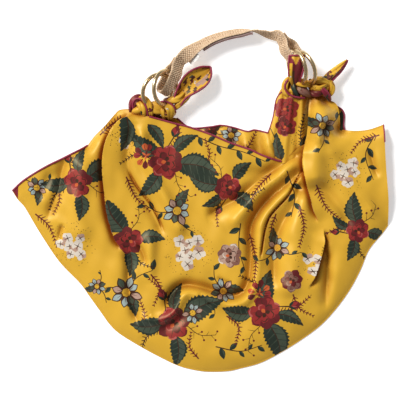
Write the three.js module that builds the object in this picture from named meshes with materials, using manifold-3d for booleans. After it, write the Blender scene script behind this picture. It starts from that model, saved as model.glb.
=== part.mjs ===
// A handbag: one square satin scarf, folded in half over its bottom edge, whose four corners pass through
// brass rings and are knotted, with a braided strap looped through the rings of both sides.
// Millimetres. It lies on its back: X across, Y up the bag towards the handle, Z away from the surface.
import * as THREE from "three";
import { mergeVertices } from "three/addons/utils/BufferGeometryUtils.js";
import Module from "manifold-3d";

const CLOTH = 1.5; // thickness of the satin with its lay
const CROWN = 15; // height of the front panel over the back panel, away from the fold
const ROLL = 22; // how far from the fold the front panel takes to rise
const MOUTH_GAP = 8.5; // least height of the front panel's middle over the surface, away from the fold
const FRONT_CELL = 13; // size of the front panel's grid
const BACK_CELL = 30; // size of the back panel's grid
const EDGE_STEP = 9; // spacing of the points along an outline
const LIP = 5; // width of the creased strip along the fold, where the two panels meet
const BACK_INSET = 0.9975; // draws the back panel's fold in behind the front panel's
const RING_RADIUS = 22.3; // to the middle of the wire
const WIRE_RADIUS = 2.7;
const RING_CLEARANCE = 0.9; // between a ring and the cloth knotted round it
const STRAP_WIDTH = 20;
const BRAID_THICKNESS = 3;
const GRIP_WIDTH = 19;
const GRIP_THICKNESS = 3.4;
const LABEL_WIDTH = 6.5;
const LABEL_THICKNESS = 0.8;
const LABEL_TUCK = 2; // how much of the label's width lies under the strap
const SEWN = 6; // length of the stretch where a loop's two layers are sewn
const CLOSING = 14; // length over which the two layers come together
const LOOP_STEP = 5; // spacing of the stations along a loop
const TOUCH = 0.4; // gap between pieces that meet
const GRIP_STATIONS = [8, 21]; // the stations between the loops that the grip runs over
const LABEL_STATIONS = [1, 7]; // the stations between the loops that the label runs over
const PRISM_LOW = -20; // the outlines' prisms reach from below the surface
const PRISM_HIGH = 80; // to above every fold
const SHEET_BOX = new THREE.Box2(new THREE.Vector2(-252, -232), new THREE.Vector2(252, 152));
const FLOOR_SIZE = 700;
const FLOOR_DEPTH = 40;
const LEAF_THICKNESS = 2;
const NECK_PLEATS = { pleats: 5, sides: 15, steps: 2 };
const TAIL_SIDES = 10;
const KNOT_SEGMENTS = [12, 8]; // round a knot's lump and from top to bottom
const WRAP_SEGMENTS = [6, 14]; // round a wrap's band and round the knot
const RING_SEGMENTS = { around: 26, across: 8 };
const HOLE_SEGMENTS = { around: 24, across: 6 }; // of the way cut for a ring

const wasm = await Module();
wasm.setup();

const mm = (points) => points.map(([x, y]) => new THREE.Vector2(x, y));

// The two panels' outlines, in stretches that meet at corners.
const foldEdge = mm([
  [244, -33], [236, -44], [219, -65], [208, -91], [194, -117], [175, -143], [155, -164], [129, -183],
  [103, -199], [77, -212], [51, -219], [38, -222], [19, -223], [0, -222], [-26, -216], [-52, -204],
  [-78, -190], [-104, -174], [-117, -162], [-130, -144], [-143, -126], [-156, -108], [-182, -81],
  [-202, -52], [-215, -31], [-228, -9], [-237, 1], [-244, 12],
]);
const leftWing = mm([[-244, 12], [-228, 26], [-202, 42], [-182, 52], [-156, 65], [-146, 71]]);
const leftShoulder = mm([
  [-146, 71], [-137, 83], [-124, 96], [-111, 111], [-104, 117], [-89, 118], [-78, 118],
]);
const frontHem = mm([
  [-66, 108], [-51, 104], [-33, 99], [-13, 94], [13, 85], [39, 74], [65, 65], [80, 58], [97, 52], [105, 50],
]);
const gatherEdge = mm([[105, 50], [117, 59], [127, 68], [136, 76], [139, 92], [140, 110], [141, 132]]);
const frontNeck = mm([[154, 140], [167, 130], [175, 126], [179, 119], [181, 105], [182, 92]]);
const rightWing = mm([[182, 92], [195, 90], [208, 90], [221, 92], [238, 98]]);
const rightSide = mm([[238, 98], [239, 75], [240, 52], [242, 26], [244, 0], [244, -33]]);
const backLeft = mm([[-244, 12], [-221, 20], [-182, 42], [-143, 66], [-117, 90], [-91, 108], [-65, 112]]);
const backHem = mm([
  [-30, 106], [-13, 94], [13, 95], [27, 97], [44, 94], [61, 89], [71, 91], [88, 87], [91, 95], [95, 109],
  [99, 131], [108, 143],
]);
const backNeck = mm([[138, 136], [156, 130], [179, 121], [187, 112], [187, 94], [196, 84], [236, 90]]);
const backSide = mm([[236, 90], [239, 52], [243, 0], [244, -33]]);

// Folds of the front panel. A ridge or trough rises by rise over width; a lap is high on one side of its
// line and low on the other, as cloth lapped over cloth is.
const folds = [
  { kind: "lap", rise: -6, width: 13, path: [
    [-85, 110], [-104, 98], [-117, 78], [-122, 57], [-124, 26], [-121, 0], [-115, -26],
    [-107, -52], [-98, -75],
  ] },
  { kind: "trough", rise: 4, width: 12, path: [
    [-98, -75], [-94, -104], [-96, -137], [-101, -169],
  ] },
  { kind: "lap", rise: -6, width: 14, path: [
    [139, 80], [140, 65], [142, 39], [145, 13], [151, -12], [155, -30],
  ] },
  { kind: "lap", rise: 5.5, width: 14, path: [
    [156, -24], [157, -45], [156, -68], [149, -94], [140, -117],
  ] },
  { kind: "lap", rise: -4.5, width: 14, path: [
    [-20, -22], [6, -23], [36, -10], [65, 13], [88, 34], [103, 48],
  ] },
  { kind: "trough", rise: 7, width: 9, path: [
    [117, 26], [84, 0], [65, -33], [58, -65], [60, -98], [51, -117], [32, -126], [6, -114],
    [-13, -107], [-33, -111], [-45, -130], [-48, -143],
  ] },
  { kind: "ridge", rise: 5, width: 9, path: [
    [130, 46], [97, 7], [75, -20], [72, -52], [68, -81], [70, -100], [62, -122], [40, -138],
    [12, -130],
  ] },
  { kind: "trough", rise: 5, width: 10, path: [
    [126, 20], [117, -7], [104, -33], [93, -59], [91, -85], [93, -111],
  ] },
  { kind: "ridge", rise: 6, width: 15, path: [
    [137, -20], [123, -65], [119, -117],
  ] },
  { kind: "trough", rise: 4, width: 11, path: [
    [162, -52], [165, -91], [163, -130], [162, -150],
  ] },
  { kind: "ridge", rise: 8, width: 15, path: [
    [156, 128], [152, 65], [147, 10],
  ] },
  { kind: "trough", rise: 3, width: 7, path: [
    [-78, 39], [-65, 0], [-46, -46],
  ] },
  { kind: "ridge", rise: 3, width: 7, path: [
    [-91, -59], [-78, -91],
  ] },
  { kind: "trough", rise: 4, width: 13, path: [
    [-174, 55], [-182, 0], [-193, -20],
  ] },
  { kind: "ridge", rise: 4, width: 18, path: [
    [-150, 52], [-146, 0], [-141, -65],
  ] },
  { kind: "trough", rise: 3, width: 8, path: [
    [156, 78], [169, 59], [188, 33], [208, 0], [221, -20],
  ] },
  { kind: "ridge", rise: 3, width: 9, path: [
    [-20, -124], [-39, -146], [-59, -153], [-75, -146],
  ] },
  { kind: "trough", rise: 3, width: 10, path: [
    [108, 46], [80, 36], [32, 33],
  ] },
];
// Where the corners are gathered, the cloth is lifted to its knot.
const frontLifts = [
  { x: -76, y: 118, rise: 4, width: 40 },
  { x: 150, y: 134, rise: 4, width: 40 },
];
const backLifts = [
  { x: -42, y: 118, rise: 14, width: 22 },
  { x: 122, y: 140, rise: 15, width: 30 },
];

const smooth = (t) => {
  const c = Math.min(1, Math.max(0, t));
  return c * c * (3 - 2 * c);
};

// Distance from a point to a line of points, with its side (left of the line is positive) and place along.
function nearest(path, x, y) {
  let best = { distance: Infinity, side: 1, along: 0 };
  for (let i = 0; i + 1 < path.length; i++) {
    const ax = path[i].x;
    const ay = path[i].y;
    const dx = path[i + 1].x - ax;
    const dy = path[i + 1].y - ay;
    const t = Math.min(1, Math.max(0, ((x - ax) * dx + (y - ay) * dy) / (dx * dx + dy * dy)));
    const distance = Math.hypot(x - ax - t * dx, y - ay - t * dy);
    if (distance < best.distance) {
      const side = Math.sign(dx * (y - ay) - dy * (x - ax)) || 1;
      best = { distance, side, along: (i + t) / (path.length - 1) };
    }
  }
  return best;
}

const foldLines = folds.map((fold) => ({ ...fold, line: mm(fold.path) }));

function foldHeight(x, y) {
  let z = 0;
  for (const { kind, rise, width, line } of foldLines) {
    const { distance, side, along } = nearest(line, x, y);
    if (distance > 4 * width) continue;
    const fade = smooth(along / 0.15) * smooth((1 - along) / 0.15);
    if (kind === "lap") z -= side * rise * fade * (1 - Math.exp(-distance / 2)) * Math.exp(-distance / width);
    if (kind === "ridge") z += rise * fade * Math.exp(-((distance / width) ** 2));
    if (kind === "trough") z -= rise * fade * Math.exp(-((distance / width) ** 2));
  }
  return z;
}

const liftHeight = (lifts, x, y) =>
  lifts.reduce((z, l) => z + l.rise * Math.exp(-((x - l.x) ** 2 + (y - l.y) ** 2) / l.width ** 2), 0);

function frontHeight(x, y) {
  const { distance, side } = nearest(foldEdge, x, y);
  const inside = Math.max(0, -side * distance - LIP);
  const rising = 1 - Math.exp(-inside / ROLL);
  const open = 1 + CROWN * rising + foldHeight(x, y) * smooth(inside / 30) + liftHeight(frontLifts, x, y);
  return Math.max(open, 1 + (MOUTH_GAP - 1) * smooth(inside / 25));
}

const backHeight = (x, y) => CLOTH / 2 + liftHeight(backLifts, x, y);

// A solid from a closed geometry of three.js.
function solidOf(geometry) {
  const bare = geometry.index ? geometry.toNonIndexed() : geometry.clone();
  bare.deleteAttribute("normal");
  bare.deleteAttribute("uv");
  const merged = mergeVertices(bare, 1e-4);
  return new wasm.Manifold(
    new wasm.Mesh({
      numProp: 3,
      vertProperties: merged.attributes.position.array,
      triVerts: new Uint32Array(merged.index.array),
    }),
  );
}

function geometryOf(solid) {
  const mesh = solid.getMesh();
  const geometry = new THREE.BufferGeometry();
  geometry.setAttribute("position", new THREE.BufferAttribute(new Float32Array(mesh.vertProperties), 3));
  geometry.setIndex(new THREE.BufferAttribute(new Uint32Array(mesh.triVerts), 1));
  geometry.computeVertexNormals();
  return geometry;
}

// A closed skin over rings of points: rings[i][j], closed along j, capped at both ends.
function skin(rings) {
  const n = rings[0].length;
  const position = rings.flat().flatMap((p) => [p.x, p.y, p.z]);
  const index = [];
  for (let i = 0; i + 1 < rings.length; i++) {
    for (let j = 0; j < n; j++) {
      const a = i * n + j;
      const b = i * n + ((j + 1) % n);
      index.push(a, b, a + n, b, b + n, a + n);
    }
  }
  const last = (rings.length - 1) * n;
  const middles = [rings[0], rings.at(-1)].map((ring) => {
    const sum = ring.reduce((total, p) => total.add(p), new THREE.Vector3());
    return sum.divideScalar(n);
  });
  middles.forEach((p) => position.push(p.x, p.y, p.z));
  for (let j = 0; j < n; j++) {
    const k = (j + 1) % n;
    index.push(last + n, k, j);
    index.push(last + n + 1, last + j, last + k);
  }
  const geometry = new THREE.BufferGeometry();
  geometry.setAttribute("position", new THREE.Float32BufferAttribute(position, 3));
  geometry.setIndex(index);
  return geometry;
}

// A sheet of cloth over a rectangle, its middle at height(x, y), as a closed slab.
function slab(box, cell, height) {
  const nx = Math.ceil((box.max.x - box.min.x) / cell);
  const ny = Math.ceil((box.max.y - box.min.y) / cell);
  const rings = [];
  for (let i = 0; i <= nx; i++) {
    const x = box.min.x + ((box.max.x - box.min.x) * i) / nx;
    const top = [];
    const bottom = [];
    for (let j = 0; j <= ny; j++) {
      const y = box.min.y + ((box.max.y - box.min.y) * j) / ny;
      const z = height(x, y);
      const slope = Math.hypot(height(x + 1, y) - z, height(x, y + 1) - z);
      const half = (CLOTH / 2) * Math.min(1.4, Math.hypot(1, slope));
      top.push(new THREE.Vector3(x, y, z + half));
      bottom.unshift(new THREE.Vector3(x, y, z - half));
    }
    rings.push([...bottom, ...top]);
  }
  return stripSkin(rings, ny + 1);
}

// The skin of a slab or leaf whose rings are m points on one side and m back on the other.
function stripSkin(rings, m) {
  const n = 2 * m;
  const position = rings.flat().flatMap((p) => [p.x, p.y, p.z]);
  const index = [];
  for (let i = 0; i + 1 < rings.length; i++) {
    for (let j = 0; j < n; j++) {
      const a = i * n + j;
      const b = i * n + ((j + 1) % n);
      index.push(a, a + n, b, b, a + n, b + n);
    }
  }
  const last = (rings.length - 1) * n;
  for (let j = 0; j + 1 < m; j++) {
    const k = n - 1 - j;
    index.push(j, j + 1, k, j + 1, k - 1, k);
    index.push(last + j, last + k, last + j + 1, last + j + 1, last + k, last + k - 1);
  }
  const geometry = new THREE.BufferGeometry();
  geometry.setAttribute("position", new THREE.Float32BufferAttribute(position, 3));
  geometry.setIndex(index);
  return geometry;
}

// The points of a stretch of outline, evenly spaced along its smooth curve.
function evenPoints(stretch) {
  const curve = new THREE.SplineCurve(stretch);
  return curve.getSpacedPoints(Math.max(1, Math.round(curve.getLength() / EDGE_STEP)));
}

// The upright prism over an outline given as stretches that follow each other.
function prism(stretches, low, high) {
  const points = stretches.flatMap(evenPoints);
  const apart = points.filter((p, i) => p.distanceTo(points[(i + 1) % points.length]) > 0.1);
  const geometry = new THREE.ExtrudeGeometry(new THREE.Shape(apart), {
    depth: high - low,
    bevelEnabled: false,
  });
  return geometry.translate(0, 0, low);
}

// The swept skin of stations { at, wide, tall }: an oval section whose pleats are waves on its rim.
function bundle(stations, { sides = 12, pleats = 0, depth = 0.12, steps = 3 } = {}) {
  const curve = new THREE.CatmullRomCurve3(stations.map((s) => new THREE.Vector3(...s.at)));
  const count = (stations.length - 1) * steps;
  const rings = [];
  for (let i = 0; i <= count; i++) {
    const t = i / count;
    const k = Math.min(stations.length - 2, Math.floor(t * (stations.length - 1)));
    const f = t * (stations.length - 1) - k;
    const wide = THREE.MathUtils.lerp(stations[k].wide, stations[k + 1].wide, f);
    const tall = THREE.MathUtils.lerp(stations[k].tall, stations[k + 1].tall, f);
    const at = curve.getPoint(t);
    const along = curve.getTangent(t);
    const across = new THREE.Vector3(-along.y, along.x, 0).normalize();
    const up = new THREE.Vector3().crossVectors(along, across);
    const ring = [];
    for (let j = 0; j < sides; j++) {
      const a = (2 * Math.PI * j) / sides;
      const r = 1 + depth * Math.cos(pleats * a) * (pleats > 0 ? 1 : 0);
      const p = at.clone().addScaledVector(across, wide * r * Math.cos(a));
      ring.push(p.addScaledVector(up, tall * r * Math.sin(a)));
    }
    rings.push(ring);
  }
  return skin(rings);
}

// A cupped leaf of cloth along its stations { at, wide, cup }: the middle lies cup below the rims.
function leaf(stations, thickness) {
  const curve = new THREE.CatmullRomCurve3(stations.map((s) => new THREE.Vector3(...s.at)));
  const across = 6;
  const steps = 3;
  const count = (stations.length - 1) * steps;
  const rings = [];
  for (let i = 0; i <= count; i++) {
    const t = i / count;
    const k = Math.min(stations.length - 2, Math.floor(t * (stations.length - 1)));
    const f = t * (stations.length - 1) - k;
    const wide = THREE.MathUtils.lerp(stations[k].wide, stations[k + 1].wide, f);
    const cup = THREE.MathUtils.lerp(stations[k].cup, stations[k + 1].cup, f);
    const at = curve.getPoint(t);
    const along = curve.getTangent(t);
    const side = new THREE.Vector3(-along.y, along.x, 0).normalize();
    const top = [];
    const bottom = [];
    for (let j = 0; j <= across; j++) {
      const s = (2 * j) / across - 1;
      const p = at.clone().addScaledVector(side, wide * s);
      p.z += cup * s * s;
      top.push(p.clone().setZ(p.z + thickness / 2));
      bottom.unshift(p.clone().setZ(p.z - thickness / 2));
    }
    rings.push([...top, ...bottom]);
  }
  return stripSkin(rings, across + 1);
}

// A band of cloth wrapped round a knot.
function wrap({ at, radius, band, tilt, turn }) {
  const geometry = new THREE.TorusGeometry(radius, band, ...WRAP_SEGMENTS);
  geometry.rotateX(tilt);
  geometry.rotateZ(turn);
  return geometry.translate(...at);
}

const knots = [
  { at: [-76, 118, 17], size: [13, 14, 11] },
  { at: [-44, 117, 15], size: [15, 11, 10] },
  { at: [124, 144, 17], size: [15, 11, 11] },
  { at: [154, 146, 17], size: [16, 12, 11] },
];
const wraps = [
  { at: [-76, 118, 17], radius: 10, band: 4.5, tilt: 1.2, turn: 0.5 },
  { at: [-38, 117, 16], radius: 9, band: 4, tilt: 1.3, turn: 1.2 },
  { at: [122, 144, 17], radius: 10, band: 4.5, tilt: 1.3, turn: 0.2 },
  { at: [155, 146, 17], radius: 10, band: 4.5, tilt: 1.25, turn: -0.3 },
];

function knotLump({ at, size }) {
  const geometry = new THREE.SphereGeometry(1, ...KNOT_SEGMENTS);
  geometry.scale(...size);
  return geometry.translate(...at);
}

const necks = [
  [
    { at: [-120, 84, 9], wide: 13, tall: 3 },
    { at: [-102, 102, 11], wide: 15, tall: 6 },
    { at: [-82, 115, 15], wide: 12, tall: 9 },
  ],
  [
    { at: [116, 68, 2.5], wide: 11, tall: 1.5 },
    { at: [117, 88, 6], wide: 14, tall: 5 },
    { at: [118, 110, 10], wide: 15, tall: 7 },
    { at: [123, 140, 16], wide: 12, tall: 9 },
  ],
  [
    { at: [156, 66, 15], wide: 9, tall: 2 },
    { at: [158, 84, 15], wide: 14, tall: 5 },
    { at: [158, 112, 16], wide: 16, tall: 8 },
    { at: [155, 142, 17], wide: 12, tall: 9 },
  ],
];

const tailLeaf = [
  { at: [-36, 126, 16], wide: 6, cup: 3 },
  { at: [-24, 137, 17], wide: 8, cup: 4 },
  { at: [-12, 150, 16], wide: 13, cup: 6 },
  { at: [2, 160, 14], wide: 12, cup: 6 },
  { at: [13, 171, 12], wide: 1.5, cup: 1 },
];
const tailUpright = [
  { at: [122, 148, 21], wide: 8, tall: 6 },
  { at: [122, 160, 31], wide: 9, tall: 4 },
  { at: [124, 172, 37.5], wide: 8.5, tall: 2.5 },
  { at: [124, 181, 38.5], wide: 8, tall: 2.2 },
  { at: [124, 187, 38], wide: 7, tall: 1.5 },
];
const tailHorn = [
  { at: [158, 150, 18], wide: 7, tall: 6 },
  { at: [167, 159, 18], wide: 6, tall: 5 },
  { at: [180, 170, 15], wide: 4.5, tall: 3 },
  { at: [190, 181, 12], wide: 1.2, tall: 1 },
];

// A ring lies with its middle at and its axis leaning by lean from upright towards toward.
const rings = {
  ring_left_outer: { at: [-55.5, 141.2, 19.1], lean: 38.3, toward: -27.2 },
  ring_left_inner: { at: [-45.3, 145.1, 25.9], lean: 50.3, toward: -5.8 },
  ring_right_outer: { at: [134.3, 170.5, 22.3], lean: 58.8, toward: 205 },
  ring_right_inner: { at: [125.2, 171.5, 23.2], lean: 64.9, toward: 195.5 },
};

function ringGeometry({ at, lean, toward }, wire, { around, across }) {
  const geometry = new THREE.TorusGeometry(RING_RADIUS, wire, across, around);
  geometry.rotateY(THREE.MathUtils.degToRad(lean));
  geometry.rotateZ(THREE.MathUtils.degToRad(toward));
  return geometry.translate(...at);
}

// The strap's end loops: the bend's middle, the strap's heading away from it and its lean, in degrees,
// the depth between the middles of its two layers, and its reach from the bend to the sewn end.
const loops = {
  left: { bend: [-45.5, 145.8, 16], heading: 62, lean: -34, outward: 1, depth: 17, reach: 40 },
  right: { bend: [123.5, 184, 19.4], heading: 125.8, lean: -45.9, outward: -1, depth: 19, reach: 35 },
};
// The strap between its loops: a point of its middle line, and how far its face leans outwards.
const arch = [
  { at: [-18, 188, 17.5], lean: -8 },
  { at: [-10, 194.5, 16.5], lean: 28 },
  { at: [0, 201, 15], lean: 46 },
  { at: [15, 209, 13.5], lean: 60 },
  { at: [33, 215, 12.5], lean: 70 },
  { at: [52, 218.5, 11.8], lean: 78 },
  { at: [69, 219.5, 11.8], lean: 90 },
  { at: [84, 215.5, 12.2], lean: 102 },
  { at: [94, 212.5, 13.5], lean: 114 },
];

// The stations { at, face } of an end loop, from the end of the turned-back layer round to the main layer.
function loopStations({ bend, heading, lean, outward, depth, reach }) {
  const h = THREE.MathUtils.degToRad(heading);
  const l = THREE.MathUtils.degToRad(lean);
  const base = new THREE.Vector3(...bend);
  const away = new THREE.Vector3(Math.cos(h), Math.sin(h), 0);
  const out = new THREE.Vector3(-Math.sin(h), Math.cos(h), 0).multiplyScalar(outward);
  const face = new THREE.Vector3(0, 0, Math.cos(l)).addScaledVector(out, Math.sin(l));
  const across = new THREE.Vector3(0, 0, -Math.sin(l)).addScaledVector(out, Math.cos(l));
  const closed = (BRAID_THICKNESS + TOUCH) / 2;
  const closingFrom = reach - SEWN - CLOSING;
  const spread = (s) => THREE.MathUtils.lerp(depth / 2, closed, smooth((s - closingFrom) / CLOSING));
  const at = (s, offset) => base.clone().addScaledVector(away, s).addScaledVector(face, offset);
  const stations = [];
  for (let s = reach; s >= 0; s -= LOOP_STEP) stations.push({ at: at(s, -spread(s)), across });
  for (const angle of [-60, -30, 0, 30, 60]) {
    const b = THREE.MathUtils.degToRad(angle);
    stations.push({ at: at((-depth / 2) * Math.cos(b), (depth / 2) * Math.sin(b)), across });
  }
  for (let s = 0; s <= reach; s += LOOP_STEP) stations.push({ at: at(s, spread(s)), across });
  return stations;
}

// The whole strap's stations from its left turned-back end to its right one.
function strapStations() {
  const left = loopStations(loops.left);
  const right = loopStations(loops.right).reverse();
  const points = [left.at(-1).at, ...arch.map((a) => new THREE.Vector3(...a.at)), right[0].at];
  const line = new THREE.CatmullRomCurve3(points);
  const leans = [loops.left.lean, ...arch.map((a) => a.lean), 180 + loops.right.lean];
  const between = [];
  const steps = 3;
  const count = (points.length - 1) * steps;
  for (let i = 1; i < count; i++) {
    const t = i / count;
    const k = Math.floor((i - 1e-9) / steps);
    const l = THREE.MathUtils.degToRad(THREE.MathUtils.lerp(leans[k], leans[k + 1], i / steps - k));
    const along = line.getTangent(t).setZ(0).normalize();
    const out = new THREE.Vector3(-along.y, along.x, 0);
    const across = new THREE.Vector3(0, 0, -Math.sin(l)).addScaledVector(out, Math.cos(l));
    between.push({ at: line.getPoint(t), across });
  }
  const flipped = right.map(({ at, across }) => ({ at, across: across.clone().negate() }));
  return { all: [...left, ...between, ...flipped], first: left.length };
}

// A flat band along stations, set off by shift across the strap and by lift from its face.
function band(stations, { width, thickness, shift = 0, lift = 0 }) {
  const rings = stations.map(({ at, across }, i) => {
    const before = stations[Math.max(0, i - 1)].at;
    const after = stations[Math.min(stations.length - 1, i + 1)].at;
    const along = new THREE.Vector3().subVectors(after, before).normalize();
    const side = across.clone().addScaledVector(along, -across.dot(along)).normalize();
    const face = new THREE.Vector3().crossVectors(along, side);
    const corner = (w, t) => {
      const p = at.clone().addScaledVector(side, shift + (w * width) / 2);
      return p.addScaledVector(face, lift + (t * thickness) / 2);
    };
    return [
      corner(1, 0.5), corner(0.94, 1), corner(-0.94, 1), corner(-1, 0.5),
      corner(-1, -0.5), corner(-0.94, -1), corner(0.94, -1), corner(1, -0.5),
    ];
  });
  return skin(rings);
}

// A panel: its sheet, cut to its outline.
function panel(outline, cell, height) {
  const sheet = solidOf(slab(SHEET_BOX, cell, height));
  return sheet.intersect(solidOf(prism(outline, PRISM_LOW, PRISM_HIGH)));
}

// The scarf in one piece: the panels, necks, knots and tails, less the rings' ways through the knots.
function scarfSolid() {
  const frontOutline = [
    leftShoulder, frontHem, gatherEdge, frontNeck, rightWing, rightSide, foldEdge, leftWing,
  ];
  const innerFold = foldEdge.map((p) => p.clone().multiplyScalar(BACK_INSET));
  const backOutline = [backLeft, backHem, backNeck, backSide, innerFold];
  const parts = [
    panel(backOutline, BACK_CELL, backHeight),
    ...knots.map((k) => solidOf(knotLump(k))),
    ...wraps.map((w) => solidOf(wrap(w))),
    ...necks.map((n) => solidOf(bundle(n, NECK_PLEATS))),
    solidOf(leaf(tailLeaf, LEAF_THICKNESS)),
    solidOf(bundle(tailUpright, { sides: TAIL_SIDES })),
    solidOf(bundle(tailHorn, { sides: TAIL_SIDES })),
  ];
  const cloth = parts.reduce((sum, p) => sum.add(p), panel(frontOutline, FRONT_CELL, frontHeight));
  const threaded = Object.values(rings).reduce(
    (sum, r) => sum.subtract(solidOf(ringGeometry(r, WIRE_RADIUS + RING_CLEARANCE, HOLE_SEGMENTS))),
    cloth,
  );
  const floor = new THREE.BoxGeometry(FLOOR_SIZE, FLOOR_SIZE, FLOOR_DEPTH).translate(0, 0, -FLOOR_DEPTH / 2);
  const bodies = threaded.subtract(solidOf(floor)).decompose();
  return bodies.reduce((most, body) => (body.volume() > most.volume() ? body : most));
}

const bag = new THREE.Group();
bag.name = "handbag";

function addPiece(name, geometry, finish) {
  const mesh = new THREE.Mesh(geometry, new THREE.MeshStandardMaterial(finish));
  mesh.name = name;
  bag.add(mesh);
}

addPiece("scarf", geometryOf(scarfSolid()), { color: 0xe1ac32, roughness: 0.45 });

for (const [name, place] of Object.entries(rings)) {
  const geometry = ringGeometry(place, WIRE_RADIUS, RING_SEGMENTS);
  addPiece(name, geometry, { color: 0xb09a6c, roughness: 0.35, metalness: 1 });
}

const { all: stations, first } = strapStations();
const stretch = ([from, to]) => stations.slice(first + from, first + to);
const under = -(BRAID_THICKNESS / 2 + TOUCH);
const braid = band(stations, { width: STRAP_WIDTH, thickness: BRAID_THICKNESS });
const grip = band(stretch(GRIP_STATIONS), {
  width: GRIP_WIDTH,
  thickness: GRIP_THICKNESS,
  lift: under - GRIP_THICKNESS / 2,
});
const label = band(stretch(LABEL_STATIONS), {
  width: LABEL_WIDTH,
  thickness: LABEL_THICKNESS,
  shift: -(STRAP_WIDTH / 2 - LABEL_TUCK + LABEL_WIDTH / 2),
  lift: under - LABEL_THICKNESS / 2,
});
addPiece("handle_braid", geometryOf(solidOf(braid)), { color: 0xc2a27a, roughness: 0.85 });
addPiece("handle_grip", geometryOf(solidOf(grip)), { color: 0x7a564c, roughness: 0.6 });
addPiece("label", geometryOf(solidOf(label)), { color: 0xf1eee8, roughness: 0.8 });

export default bag;
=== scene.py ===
import math
import random

import bpy
import numpy as np
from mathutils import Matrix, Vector
from mathutils.geometry import delaunay_2d_cdt


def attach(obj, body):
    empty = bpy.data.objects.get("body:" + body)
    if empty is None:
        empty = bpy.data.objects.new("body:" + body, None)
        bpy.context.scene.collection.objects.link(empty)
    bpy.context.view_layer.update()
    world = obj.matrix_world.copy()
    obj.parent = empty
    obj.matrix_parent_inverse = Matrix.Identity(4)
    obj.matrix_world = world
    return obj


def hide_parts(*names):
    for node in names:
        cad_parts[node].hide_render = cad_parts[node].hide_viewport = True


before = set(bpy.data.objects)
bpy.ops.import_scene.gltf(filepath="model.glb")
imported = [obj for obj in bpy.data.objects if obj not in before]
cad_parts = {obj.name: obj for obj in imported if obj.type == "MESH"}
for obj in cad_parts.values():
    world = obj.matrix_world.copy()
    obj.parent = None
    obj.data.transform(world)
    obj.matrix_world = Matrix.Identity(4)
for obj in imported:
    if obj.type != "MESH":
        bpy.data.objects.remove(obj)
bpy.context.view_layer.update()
mm = 0.001  # shapes are worked out in millimetres and made in metres
random.seed(11)


# Camera: straight above, at the photograph's framing
photoFrame = {"pixel": 1.3, "side": 400, "middle": 200.25, "height": 4000, "sensor": 36}


def makeCamera():
    data = bpy.data.cameras.new("camera")
    data.sensor_width = photoFrame["sensor"]
    data.lens = photoFrame["sensor"] * photoFrame["height"] / (photoFrame["pixel"] * photoFrame["side"])
    camera = bpy.data.objects.new("camera", data)
    sideways = (photoFrame["side"] / 2 - photoFrame["middle"]) * photoFrame["pixel"]
    camera.location = (sideways * mm, 0, photoFrame["height"] * mm)
    bpy.context.collection.objects.link(camera)
    bpy.context.scene.camera = camera
    print("camera made")


makeCamera()


# Smooth lines and distances
def smooth(t):
    t = np.clip(t, 0, 1)
    return t * t * (3 - 2 * t)


def unit(v):
    return v / np.maximum(np.linalg.norm(v, axis=-1, keepdims=True), 1e-9)


def leftOf(line):
    along = unit(np.gradient(line, axis=0))
    return np.stack([-along[:, 1], along[:, 0]], axis=1)


def runAlong(line):
    return np.concatenate([[0], np.cumsum(np.linalg.norm(np.diff(line, axis=0), axis=1))])


def pointsAt(line, run, at):
    return np.stack([np.interp(at, run, line[:, k]) for k in range(line.shape[1])], axis=1)


def curveThrough(points, step):
    # evenly spaced points of a smooth curve through the given ones
    p = np.array(points, float)
    p = np.vstack([2 * p[0] - p[1], p, 2 * p[-1] - p[-2]])
    t = np.linspace(0, 1, 24, endpoint=False)[:, None]
    fine = []
    for a, b, c, d in zip(p, p[1:], p[2:], p[3:]):
        fine.append(0.5 * (
            2 * b + (c - a) * t + (2 * a - 5 * b + 4 * c - d) * t ** 2 + (3 * b - a - 3 * c + d) * t ** 3))
    fine = np.vstack([*fine, p[-2:-1]])
    run = runAlong(fine)
    return pointsAt(fine, run, np.linspace(0, run[-1], max(2, int(round(run[-1] / step)) + 1)))


def nearLine(line, x, y):
    # distance to a line, which side of it (left is positive), how far along it, and its left normal
    best = np.full(x.shape, np.inf)
    side, along, normalX, normalY = np.ones(x.shape), np.zeros(x.shape), np.zeros(x.shape), np.zeros(x.shape)
    for i in range(len(line) - 1):
        ax, ay = line[i]
        dx, dy = line[i + 1] - line[i]
        length = math.hypot(dx, dy)
        t = np.clip(((x - ax) * dx + (y - ay) * dy) / length ** 2, 0, 1)
        distance = np.hypot(x - ax - t * dx, y - ay - t * dy)
        closer = distance < best
        best = np.where(closer, distance, best)
        side = np.where(closer, np.where(dx * (y - ay) - dy * (x - ax) < 0, -1.0, 1.0), side)
        along = np.where(closer, (i + t) / (len(line) - 1), along)
        normalX = np.where(closer, -dy / length, normalX)
        normalY = np.where(closer, dx / length, normalY)
    return best, side, along, normalX, normalY


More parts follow.
